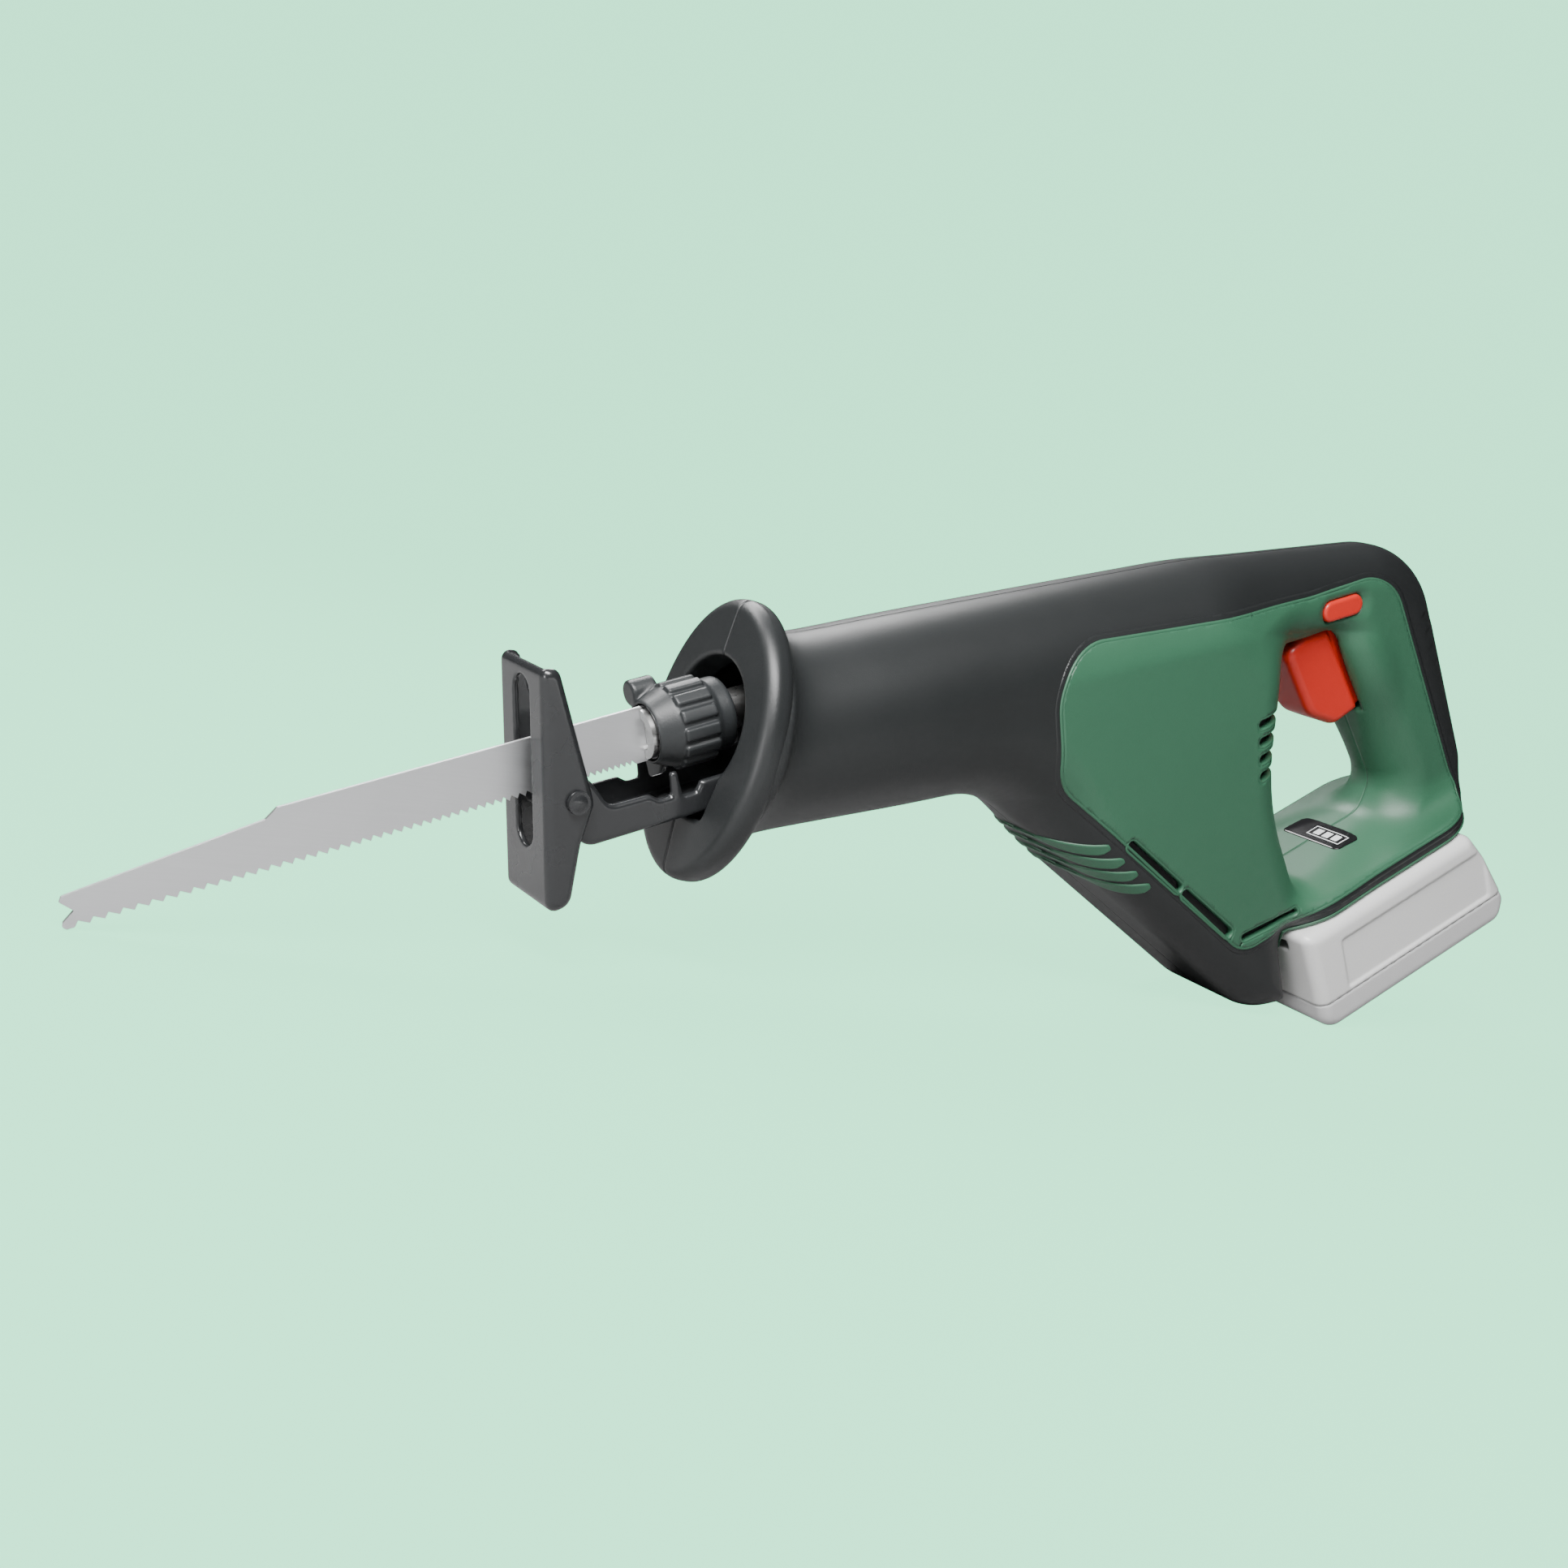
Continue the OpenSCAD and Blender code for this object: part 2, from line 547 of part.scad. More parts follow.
module pinion() color("silver") on_shaft() {
    from = crank_x + gear_r - gear_face;
    difference() {
        union() {
            rod_x(pinion_r - tooth_add, from, crank_x + gear_r);
            rod_x(pinion_r - tooth_add, from, crank_x + gear_r + 1);
            for (i = [0:pinion_teeth - 1]) rotate([360 * i / pinion_teeth, 0, 0])
                block([from, crank_x + gear_r], [-tooth_pitch * 0.16, tooth_pitch * 0.16],
                    [pinion_r - tooth_add - 1, pinion_r + tooth_add * 0.8]);
        }
        rod_x(shaft_r, 0, 400);
    }
}
fan_r = motor_r - 2;
fan_blades = 11;
module fan() color("#d8d8d0") on_shaft() {
    from = motor_back + 8;
    difference() {
        union() {
            rod_x(fan_r, from, from + 1.6);
            rod_x(4, from, from + 7);
            for (i = [0:fan_blades - 1]) rotate([360 * i / fan_blades, 0, 0])
                block([from + 1, from + 7], [-0.8, 0.8], [6, fan_r - 0.5]);
        }
        rod_x(shaft_r, 0, 400);
    }
}
module bearing_at(x) color("lightgray") on_shaft() {
    tube_x(bearing_r, shaft_r + running_fit, x, x + bearing_length);
}
module front_bearing() { bearing_at(motor_x - 0.9); }
module rear_bearing() { bearing_at(motor_back + 2.5); }

// ---- Support arm and shoe ----
arm_bottom = -26.4;
arm_web_top = arm_bottom + arm_sheet;
arm_back = case_x0 - 0.4;
arm_screw_x = (case_front + case_x0) / 2;
arm_screw_y = [-4.5, 4.5];
arm_screw_r = 1.6;
arm_pad = 8;
arm_ear_r = 7.5;
arm_wall = [[2, arm_bottom, 6], [-4, -pivot_drop - 4, 0], [-2, -pivot_drop + arm_ear_r - 1, 0], [7, -5.6, 4],
    [12, -15.4, 4], [26, -15.7, 0], [29, -18, 0], [33.4, -18, 0], [33.8, -10.6, 0.6], [36.4, -10.6, 0.6],
    [37.4, -19, 1], [42, -19, 0], [44, -16, 0], [arm_back, -16, 2], [arm_back, arm_bottom, 2]];
module at_arm_screws() { for (y = arm_screw_y) translate([arm_screw_x, y, 0]) children(); }
module support_arm() color("#2b2d2f") in_tool() {
    difference() {
        union() {
            difference() {
                union() {
                    slab(rounded(arm_wall), arm_width / 2);
                    translate([0, 0, -pivot_drop]) rod_y(arm_ear_r, -arm_width / 2, arm_width / 2);
                }
                block([-40, arm_back + 10], [-arm_width / 2 + arm_sheet, arm_width / 2 - arm_sheet], [-60, 30]);
            }
            block([6, arm_back], [-arm_width / 2 + 0.5, arm_width / 2 - 0.5], [arm_bottom, arm_web_top - 0.05]);
        }
        translate([0, 0, -pivot_drop]) rod_y(rivet_r, -40, 40);
        at_arm_screws() rod_z(arm_screw_r + 0.5, -60, 0);
    }
}
module arm_screws() color("dimgray") in_tool() {
    at_arm_screws() {
        rod_z(arm_screw_r, arm_web_top, -bush_r - 3);
        rod_z(arm_screw_r + 0.4, arm_bottom, arm_web_top);
        rod_z(2 * arm_screw_r, arm_bottom - 2, arm_bottom);
    }
}
// The shoe is one bent sheet: a slotted face and two cheeks that taper to the pivot
shoe_top = 42;
slot_run = (slot_height - slot_width) / 2;
cheek = [[-shoe_reach, shoe_top - shoe_height, 4], [-shoe_reach, shoe_top, 4], [-shoe_reach + 6, shoe_top, 4],
    [4.6, 6, 8], [6.4, -2, 5], [1.5, -14, 10], [-shoe_reach + 8, shoe_top - shoe_height + 2, 5]];
module shoe() color("#2f3133") in_tool() in_shoe() {
    back = -shoe_reach + shoe_sheet;
    difference() {
        slab(rounded(cheek), shoe_width / 2);
        block([back, 40], [-shoe_width / 2 + shoe_sheet, shoe_width / 2 - shoe_sheet], [-80, 80]);
        rod_y(rivet_r + running_fit, -40, 40);
        translate([-shoe_reach, 0, pivot_drop + 1]) {
            for (z = [-slot_run, slot_run]) translate([0, 0, z]) rod_x(slot_width / 2, -5, 5);
            block([-5, 5], [-slot_width / 2, slot_width / 2], [-slot_run, slot_run]);
        }
    }
}
module shoe_rivets() color("#303234") in_tool() translate([0, 0, -pivot_drop]) {
    for (s = [0, 1]) mirror([0, s, 0]) {
        rod_y(rivet_r, arm_width / 2 - arm_sheet - 0.6, shoe_width / 2 + 0.15);
        rod_y(3.6, shoe_width / 2 + 0.15, shoe_width / 2 + 1.6);
        rod_y(3.6, arm_width / 2 - arm_sheet - 1.4, arm_width / 2 - arm_sheet);
    }
}

// ---- Hand guard ----
function oval(a, b, n = 48) = [for (i = [0:n - 1]) [b * cos(360 * i / n), a * sin(360 * i / n)]];
key_half = arm_width / 2 + 1;
module guard_plate(a, b, thick) {
    rotate([0, 90, 0]) rotate([0, 0, 180]) linear_extrude(thick) polygon(oval(a, b));
}
module guard_hole() {
    translate([0, 0, 5]) rod_x(guard_hole_r, -5, guard_thick + 10);
    block([-5, guard_thick + 10], [-key_half, key_half], [-24, 0]);
}
module guard(side) color("#36393b") in_tool() half(side) in_guard() difference() {
    union() {
        translate([2, 0, 0]) guard_plate(guard_width / 2, guard_height / 2, guard_thick - 2);
        guard_plate(guard_width / 2 - 2, guard_height / 2 - 2, 3);
    }
    guard_hole();
}
module guard_left() { guard(-1); }
module guard_right() { guard(1); }

// ---- Housing ----
// The whole body as one solid whose outside is moved in by d
module behind_guard() { in_guard() block([guard_thick, 400], [-90, 90], [-300, 300]); }
module body_solid(d) {
    intersection() {
        in_barrel() rod_x(barrel_r - d, -40, neck_x - barrel_x + 52);
        behind_guard();
    }
    slab(rounded(inset(bay_corners, d)), body_width / 2 - d);
    difference() {
        slab(rounded(inset(body_corners, d)), grip_width / 2 - d);
        slab(rounded(inset(opening_corners, -d)), 100);
    }
    slab(rounded(inset(foot_corners, d)), foot_width / 2 - d);
}
module panel_prism(grow) { slab(rounded(inset(panel_corners, -grow)), 60); }
boss_at = [[182, -64], [222, -118], [268, 0], [268, -152], [352, -18], [378, -98]];
boss_r = 4.2;
screw_r = 1.3;
screw_head_r = 2.9;
screw_seat = 12;
module at_bosses() { for (p = boss_at) translate([p[0], 0, p[1]]) children(); }
module trigger_window(gap) {
    in_grip() block([-22, 8], [-trigger_width / 2 - gap, trigger_width / 2 + gap], [-38, 10]);
}
lock_at = [317, 0, -22];
module lock_hole(gap) { translate(lock_at) pill_y(lock_length + 2 * gap, lock_height + 2 * gap, -40, 40); }
// Four vents before the grip opening, two slots down the bay and one along its foot
vent_x = [262, 284];
vent_top = -48;
vent_pitch = 6.6;
vent_height = 3.4;
bay_slots = [[210, -91.5], [234, -118.5]];
bay_slot_lean = 48.5;
module vents() {
    for (i = [0:3]) translate([0, 0, vent_top - vent_pitch * i]) block(vent_x, [-50, 50], [-vent_height, 0]);
    for (p = bay_slots) translate([p[0], 0, p[1]]) rotate([0, bay_slot_lean, 0])
        block([-15, 15], [-50, 50], [-1.8, 1.8]);
    in_pack() block([-18, bridge + 1], [-50, 50], [bridge - 1, bridge + 2]);
}
module housing(side) color("#44735a") in_tool() half(side) {
    difference() {
        union() {
            body_solid(skin);
            intersection() { body_solid(0); panel_prism(0); }
        }
        difference() {
            body_solid(skin + wall);
            at_bosses() rod_y(boss_r, -40, 40);
        }
        at_bosses() if (side < 0) rod_y(screw_r, -screw_seat - 1, 1); else rod_y(screw_r + 0.3, -1, 40);
        at_bosses() rod_y(screw_head_r + 0.3, screw_seat, 60);
        trigger_window(button_gap);
        lock_hole(button_gap);
        vents();
        foot_cut();
    }
}
module housing_left() { housing(-1); }
module housing_right() { housing(1); }
module skin_half(side) color("#2c2f31") in_tool() half(side) {
    difference() {
        body_solid(0);
        body_solid(skin);
        panel_prism(panel_gap);
        trigger_window(button_gap);
        lock_hole(button_gap);
        foot_cut();
        at_bosses() rod_y(screw_head_r + 0.3, 0, 60);
    }
}
module skin_left() { skin_half(-1); }
module skin_right() { skin_half(1); }
module housing_screws() color("#2a2a2a") in_tool() at_bosses() {
    rod_y(screw_r, -screw_seat - 0.5, screw_seat);
    rod_y(screw_head_r, screw_seat, screw_seat + 2);
}

// ---- Controls ----
trigger_shape = [[-20, 9, 3], [0, 5, 0], [0, -35, 1], [-9, -33, 6], [-21, -25, 7]];
module trigger() color("#d03e32") in_tool() in_grip() {
    slab(rounded(trigger_shape), trigger_width / 2);
    block([-eps, 5], [-trigger_width / 2 + 1, trigger_width / 2 - 1], [-32, 3]);
    block([4, 9], [-3, 3], [-20, -12]);
}
module switch_module() color("#222426") in_tool() in_grip() {
    block([18, 34], [-9, 9], [-34, 2]);
}
module lock_off_button() color("#d03e32") in_tool() translate(lock_at) {
    pill_y(lock_length, lock_height, -grip_width / 2 - 1, grip_width / 2 + 1 - lock_travel);
}
board_back = -skin - wall - 5;
board_length = 17;
board_half = body_width / 2 - skin - wall - 4.4;
board_low = -5;
board_high = board_low + 1.6;
module control_board() color("#1f5a3a") in_tool() in_pack() {
    block([board_back - board_length, board_back], [-board_half, board_half], [board_low, board_high]);
    block([board_back - 12, board_back - 6], [-6, 6], [board_high, board_high + 4.4]);
}
gauge_run = [44, 54];
gauge_half = 14;
module gauge_window() color("#1a1c1d") in_tool() in_pack() {
    block(gauge_run, [-gauge_half, gauge_half], [deck, deck + 0.8]);
}

// ---- Battery rails: the tool's block hangs below the foot and runs in a channel in the pack ----
rail_half = 20;
rail_lip = 4;
rail_depth = 9;
rail_run = [6, 78];
terminal_y = [-9, -3, 3, 9];
terminal_u = rail_run[0] + 20;
module rail_block() color("#232527") in_tool() in_pack() {
    difference() {
        union() {
            block(rail_run, [-rail_half, rail_half], [-rail_depth, bridge - skin - wall - 0.2]);
            block(rail_run, [-rail_half - rail_lip, rail_half + rail_lip], [-rail_depth, -rail_depth + 3]);
        }
        block([terminal_u, rail_run[1] + 1], [-13, 13], [-rail_depth - 1, -rail_depth + 5]);
    }
}
module foot_cut() {
    in_pack() block([rail_run[0], rail_run[1]], [-rail_half, rail_half], [-3, bridge - skin - wall]);
}
module tool_terminals() color("goldenrod") in_tool() in_pack() {
    for (y = terminal_y)
        block([terminal_u, terminal_u + 14], [y - 0.4, y + 0.4], [-rail_depth + 0.4, -rail_depth + 5]);
}

// ---- Battery pack ----
pack_split = -20;
pack_wall = 2;
module pack_solid(d) { slab(rounded(inset(pack_corners, d)), pack_width / 2 - d); }
module pack_zone(low, high) { in_pack() block([-20, 200], [-60, 60], [low, high]); }
channel_end = rail_run[1] + 1.5;
module rail_channel(gap) {
    in_pack() {
        block([-10, channel_end], [-rail_half - gap, rail_half + gap], [-rail_depth - gap, 5]);
        block([-10, channel_end], [-rail_half - rail_lip - gap, rail_half + rail_lip + gap],
            [-rail_depth - gap, -rail_depth + 3 + gap]);
    }
}
module pack_lid() color("#d9d9d9") in_tool() {
    difference() {
        intersection() { pack_solid(0); pack_zone(pack_split, 10); }
        intersection() {
            pack_solid(pack_wall);
            pack_zone(pack_split - 1, -rail_depth - pack_wall - 0.6);
        }
        rail_channel(0.5);
        in_pack() release_space(0.4);
        in_pack() for (y = terminal_y)
            block([terminal_u - 2, terminal_u + 16], [y - 0.9, y + 0.9], [-rail_depth - 4, -rail_depth + 1]);
    }
}
module pack_case() color("#c4c4c4") in_tool() {
    difference() {
        intersection() { pack_solid(0); pack_zone(-pack_height - 5, pack_split); }
        intersection() { pack_solid(pack_wall); pack_zone(-pack_height - 5, pack_split + 1); }
        in_pack() release_space(0.4);
    }
}
cell_pitch = 2 * cell_r + 0.6;
cell_first = cell_r + 6.5;
cell_count = floor((pack_length - 2 - pack_wall - cell_first - cell_r) / cell_pitch) + 1;
cell_u = [for (i = [0:cell_count - 1]) cell_first + i * cell_pitch];
cell_w = pack_split - cell_r - 3;
strap = 0.4;
module pack_cells() color("#3c78b4") in_tool() in_pack() {
    for (u = cell_u) translate([u, 0, cell_w]) rod_y(cell_r, -cell_length / 2, cell_length / 2);
}
module cell_straps() color("silver") in_tool() in_pack() {
    for (s = [0, 1]) mirror([0, s, 0]) for (i = [s:2:cell_count - 2])
        block([cell_u[i] - 3, cell_u[i + 1] + 3], [-cell_length / 2 - strap, -cell_length / 2],
            [cell_w - 3, cell_w + 3]);
}
board_top = pack_split + 2;
module pack_board() color("#1f5a3a") in_tool() in_pack() {
    block([20, 84], [-18, 18], [board_top - 1.6, board_top]);
}
module pack_terminals() color("goldenrod") in_tool() in_pack() {
    for (y = terminal_y, s = [-1, 1]) translate([0, y + s * 0.65, 0])
        block([terminal_u - 1, terminal_u + 15], [-0.15, 0.15], [board_top, -rail_depth - 0.8]);
}
// Release button in the back of the pack
release_u = pack_length - 13;
release_travel = 3;
release_half = 13;
release_low = pack_split - 0.5;
release_high = -9.5;
module release_space(gap) {
    block([release_u - release_travel - gap, pack_length + 20], [-release_half - gap, release_half + gap],
        [release_low - gap, release_high + gap]);
}
module pack_release() color("#b8b8b8") in_tool() intersection() {
    pack_solid(0.5);
    in_pack() block([release_u, pack_length + 5], [-release_half, release_half], [release_low, release_high]);
}

blade();
blade_holder();
holder_ring();
clamp_collar();
collar_spring();
clamp_pin();
plunger_rod();
front_bush();
rear_bush();
shaft_seal();
gear_case();
gear_case_cover();
crank_gear();
crank_axle();
crank_pin();
crank_roller();
motor_can();
motor_end_cap();
motor_magnets();
rotor_shaft();
armature();
commutator();
carbon_brushes();
pinion();
fan();
front_bearing();
rear_bearing();
support_arm();
arm_screws();
shoe();
shoe_rivets();
guard_left();
guard_right();
housing_left();
housing_right();
skin_left();
skin_right();
housing_screws();
trigger();
switch_module();
lock_off_button();
control_board();
gauge_window();
rail_block();
tool_terminals();
pack_case();
pack_lid();
pack_cells();
cell_straps();
pack_board();
pack_terminals();
pack_release();
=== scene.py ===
"""Cordless reciprocating saw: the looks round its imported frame.

Shapes are drawn in the tool's own axes, in millimetres: X runs along the blade towards the grip, Y across
the tool, Z up, with the shoe's pivot at X = 0 and the blade's middle line at Z = 0. TOOL turns them into
the frame's metres.
"""

import json
import math

import bpy
import numpy as np
from mathutils import Matrix, Vector
from mathutils.geometry import delaunay_2d_cdt


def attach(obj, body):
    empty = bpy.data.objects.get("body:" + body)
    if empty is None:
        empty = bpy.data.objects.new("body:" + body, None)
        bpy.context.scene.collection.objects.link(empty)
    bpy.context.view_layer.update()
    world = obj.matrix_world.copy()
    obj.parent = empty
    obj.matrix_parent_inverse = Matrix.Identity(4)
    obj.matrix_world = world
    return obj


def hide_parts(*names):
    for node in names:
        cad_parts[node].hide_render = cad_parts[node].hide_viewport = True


bl_info = {
    "name": "Cordless reciprocating saw",
    "version": (1, 0, 0),
    "blender": (4, 5, 0),
    "location": "View3D > Sidebar > Saw",
    "description": "Builds the outer pieces and finishes of a cordless reciprocating saw",
    "category": "Object",
}

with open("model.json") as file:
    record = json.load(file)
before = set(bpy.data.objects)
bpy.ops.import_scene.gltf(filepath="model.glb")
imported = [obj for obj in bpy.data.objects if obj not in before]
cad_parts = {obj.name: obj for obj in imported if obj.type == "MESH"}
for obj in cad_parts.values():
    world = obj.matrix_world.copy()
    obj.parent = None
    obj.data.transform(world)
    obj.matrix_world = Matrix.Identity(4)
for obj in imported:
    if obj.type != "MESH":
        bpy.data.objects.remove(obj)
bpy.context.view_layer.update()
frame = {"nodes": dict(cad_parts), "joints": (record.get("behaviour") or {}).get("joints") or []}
JOINTS = {joint["name"]: joint for joint in frame["joints"]}
MM = 0.001
# The shoe's rivets are this far below the blade's middle line
PIVOT_DROP = 9.6


# ---- The tool's axes in the frame ----
def tool_matrix():
    along = Vector(JOINTS["plunger_stroke"]["axis"]).normalized()
    across = Vector((0, 1, 0))
    up = along.cross(across).normalized()
    origin = Vector(JOINTS["shoe_tilt"]["pos_m"]) + up * PIVOT_DROP * MM
    turn = Matrix((along, across, up)).transposed().to_4x4()
    return Matrix.Translation(origin) @ turn


TOOL = tool_matrix()
TO_FRAME = np.array(TOOL)


def in_frame(points):
    """Points in the tool's millimetres as frame metres."""
    p = np.asarray(points, float) * MM
    return p @ TO_FRAME[:3, :3].T + TO_FRAME[:3, 3]


# ---- Distance fields ----
def smooth_min(a, b, k):
    """The lower of two fields, with the crease between them blended over k."""
    h = np.clip(0.5 + 0.5 * (b - a) / k, 0, 1)
    return b + (a - b) * h - k * h * (1 - h)


def smooth_max(a, b, k):
    return -smooth_min(-a, -b, k)


def smooth_step(t):
    """0 up to t = 0 and 1 from t = 1, with a soft rise between."""
    t = np.clip(t, 0, 1)
    return t * t * (3 - 2 * t)


def rounded_pair(a, b, r):
    """Where a < 0 and b < 0, with the edge between them rounded to r."""
    qa, qb = a + r, b + r
    return np.minimum(np.maximum(qa, qb), 0) + np.hypot(np.maximum(qa, 0), np.maximum(qb, 0)) - r


def block_field(x, y, z, low, high, r):
    """A box between two corners, with its edges rounded to r."""
    q = [abs(v - (a + b) / 2) - (b - a) / 2 + r for v, a, b in zip((x, y, z), low, high)]
    out = np.sqrt(sum(np.maximum(c, 0) ** 2 for c in q))
    return out + np.minimum(np.maximum(np.maximum(q[0], q[1]), q[2]), 0) - r


def turned(u, v, angle, centre):
    """u and v about centre, measured along axes turned by angle degrees."""
    c, s = math.cos(math.radians(angle)), math.sin(math.radians(angle))
    du, dv = u - centre[0], v - centre[1]
    return du * c + dv * s, dv * c - du * s


# ---- Outlines in the side view: corners are (x, z, radius) ----
ARC_STEP = 4


def corner_arc(a, p, b, r):
    """Points of the arc that rounds corner p, between its neighbours a and b, to radius r."""
    p = np.array(p[:2], float)
    u, v = np.array(a[:2]) - p, np.array(b[:2]) - p
    room = min(np.hypot(*u), np.hypot(*v))
    u, v = u / np.hypot(*u), v / np.hypot(*v)
    half = math.acos(max(-1, min(1, float(u @ v)))) / 2
    if r <= 0 or half > math.radians(89.7):
        return [p]
    q = min(r, 0.48 * room * math.tan(half))
    mid = (u + v) / np.hypot(*(u + v))
    c = p + mid * q / math.sin(half)
    side = 1 if u[0] * v[1] - u[1] * v[0] > 0 else -1
    sweep = math.pi - 2 * half
    start = math.atan2(-mid[1], -mid[0]) + side * sweep / 2
    count = max(3, math.ceil(math.degrees(sweep) / ARC_STEP))
    angles = [start - side * sweep * i / count for i in range(count + 1)]
    return [c + q * np.array([math.cos(t), math.sin(t)]) for t in angles]


def rounded(corners):
    m = len(corners)
    return np.array([p for i in range(m)
                     for p in corner_arc(corners[i - 1], corners[i], corners[(i + 1) % m], corners[i][2])])


def walk(points, step):
    """A closed line's points again, evenly step apart."""
    ends = np.roll(points, -1, axis=0)
    lengths = np.hypot(*(ends - points).T)
    total = lengths.sum()
    count = max(8, int(round(total / step)))
    at = np.concatenate([[0], np.cumsum(lengths)])
    t = np.linspace(0, total, count, endpoint=False)
    closed = np.vstack([points, points[:1]])
    return np.stack([np.interp(t, at, closed[:, 0]), np.interp(t, at, closed[:, 1])], axis=1)


def line_distance(points, x, z):
    """Signed distance to a closed line, below zero inside it."""
    x, z = np.broadcast_arrays(x, z)
    best = np.full(x.shape, 1e9)
    inside = np.zeros(x.shape, bool)
    for (ax, az), (bx, bz) in zip(points, np.roll(points, -1, axis=0)):
        ex, ez = bx - ax, bz - az
        wx, wz = x - ax, z - az
        t = np.clip((wx * ex + wz * ez) / max(ex * ex + ez * ez, 1e-12), 0, 1)
        best = np.minimum(best, (wx - ex * t) ** 2 + (wz - ez * t) ** 2)
        if ez != 0:
            inside ^= ((az > z) != (bz > z)) & (wx < ex * wz / ez)
    return np.where(inside, -1, 1) * np.sqrt(best)


class Outline:
    """A rounded outline with its distance kept in a table, so that it can be asked for at many points."""

    cell, margin = 0.8, 26

    def __init__(self, corners):
        self.points = rounded(corners)
        self.low = self.points.min(axis=0) - self.margin
        high = self.points.max(axis=0) + self.margin
        self.count = np.ceil((high - self.low) / self.cell).astype(int) + 1
        x, z = [self.low[i] + self.cell * np.arange(self.count[i]) for i in (0, 1)]
        self.table = line_distance(self.points, x[:, None], z[None, :]).astype(np.float32)

    def __call__(self, x, z):
        x, z = np.broadcast_arrays(x, z)
        weights, starts, past = [], [], 0
        for v, low, count in ((x, self.low[0], self.count[0]), (z, self.low[1], self.count[1])):
            u = (v - low) / self.cell
            held = np.clip(u, 1, count - 3.001)
            past = past + ((u - held) * self.cell) ** 2
            i = np.floor(held).astype(int)
            t = held - i
            weights.append([(1 - t) ** 3 / 6, (3 * t**3 - 6 * t**2 + 4) / 6,
                            (-3 * t**3 + 3 * t**2 + 3 * t + 1) / 6, t**3 / 6])
            starts.append(i - 1)
        value = 0
        for a in range(4):
            for b in range(4):
                value = value + weights[0][a] * weights[1][b] * self.table[starts[0] + a, starts[1] + b]
        return value + np.sqrt(past)


# ---- Meshes from distance fields ----
EDGES = [(0, 1), (2, 3), (4, 5), (6, 7), (0, 2), (1, 3), (4, 6), (5, 7), (0, 4), (1, 5), (2, 6), (3, 7)]
CORNERS = [(i, j, k) for i in (0, 1) for j in (0, 1) for k in (0, 1)]


def gradient(field, p, h=0.04):
    out = np.empty_like(p)
    for i in range(3):
        d = np.zeros(3)
        d[i] = h
        a, b = p + d, p - d
        out[:, i] = (field(*a.T) - field(*b.T)) / (2 * h)
    return out


def settle(field, p, reach, rounds=2):
    """Moves points onto the field's surface, each by reach at the most."""
    start = p.copy()
    for _ in range(rounds):
        g = gradient(field, p)
        size = np.maximum((g**2).sum(axis=1), 0.05)
        p = p - g * (field(*p.T) / size)[:, None]
        move = p - start
        far = np.maximum(np.linalg.norm(move, axis=1) / reach, 1)
        p = start + move / far[:, None]
    return p


def surface(field, low, high, step, half=False):
    """The zero surface of field as (points, faces of four corners). half keeps Y >= 0, cut at Y = 0."""
    low = np.array(low, float)
    if half:
        low[1] = -step / 2
    count = np.ceil((np.array(high) - low) / step).astype(int) + 1
    x, y, z = [low[i] + step * np.arange(count[i]) for i in range(3)]
    v = np.broadcast_to(field(x[:, None, None], y[None, :, None], z[None, None, :]), count).astype(np.float32)
    ins = v < 0
    n = count - 1
    number = sum(ins[i:i + n[0], j:j + n[1], k:k + n[2]].astype(np.int8) for i, j, k in CORNERS)
    cells = np.argwhere((number > 0) & (number < 8))
    index = np.full(n, -1)
    index[tuple(cells.T)] = np.arange(len(cells))
    values = np.stack([v[tuple((cells + c).T)] for c in CORNERS], axis=1).astype(float)
    total, hits = np.zeros((len(cells), 3)), np.zeros(len(cells))
    for a, b in EDGES:
        crossing = (values[:, a] < 0) != (values[:, b] < 0)
        t = values[:, a] / np.where(crossing, values[:, a] - values[:, b], 1)
        ca, cb = np.array(CORNERS[a], float), np.array(CORNERS[b], float)
        total[crossing] += ca + (cb - ca) * t[crossing, None]
        hits += crossing
    points = low + step * (cells + total / hits[:, None])
    faces = []
    for axis in range(3):
        u, w = (axis + 1) % 3, (axis + 2) % 3
        a = [slice(None)] * 3
        b = [slice(None)] * 3
        a[axis], b[axis] = slice(0, -1), slice(1, None)
        flips = ins[tuple(a)] != ins[tuple(b)]
        at = np.argwhere(flips)
        at = at[(at[:, u] > 0) & (at[:, w] > 0) & (at[:, u] < n[u]) & (at[:, w] < n[w])]
        quad = []
        for du, dw in ((-1, -1), (0, -1), (0, 0), (-1, 0)):
            c = at.copy()
            c[:, u] += du
            c[:, w] += dw
            quad.append(index[tuple(c.T)])
        quad = np.stack(quad, axis=1)
        outward = ins[tuple(at.T)]
        quad[~outward] = quad[~outward][:, ::-1]
        faces.append(quad)
    faces = np.vstack(faces)
    points = settle(field, points, 0.7 * step)
    if half:
        points[cells[:, 1] == 0, 1] = 0
        faces = faces[(points[faces][:, :, 1] > -1e-6).all(axis=1)]
    return points, faces


def used_only(points, faces):
    """Drops the points that no face uses. Faces are a list of index arrays."""
    flat = np.unique(np.concatenate([np.ravel(f) for f in faces]))
    new = np.full(len(points), -1)
    new[flat] = np.arange(len(flat))
    return points[flat], [[int(new[i]) for i in f] for f in faces]


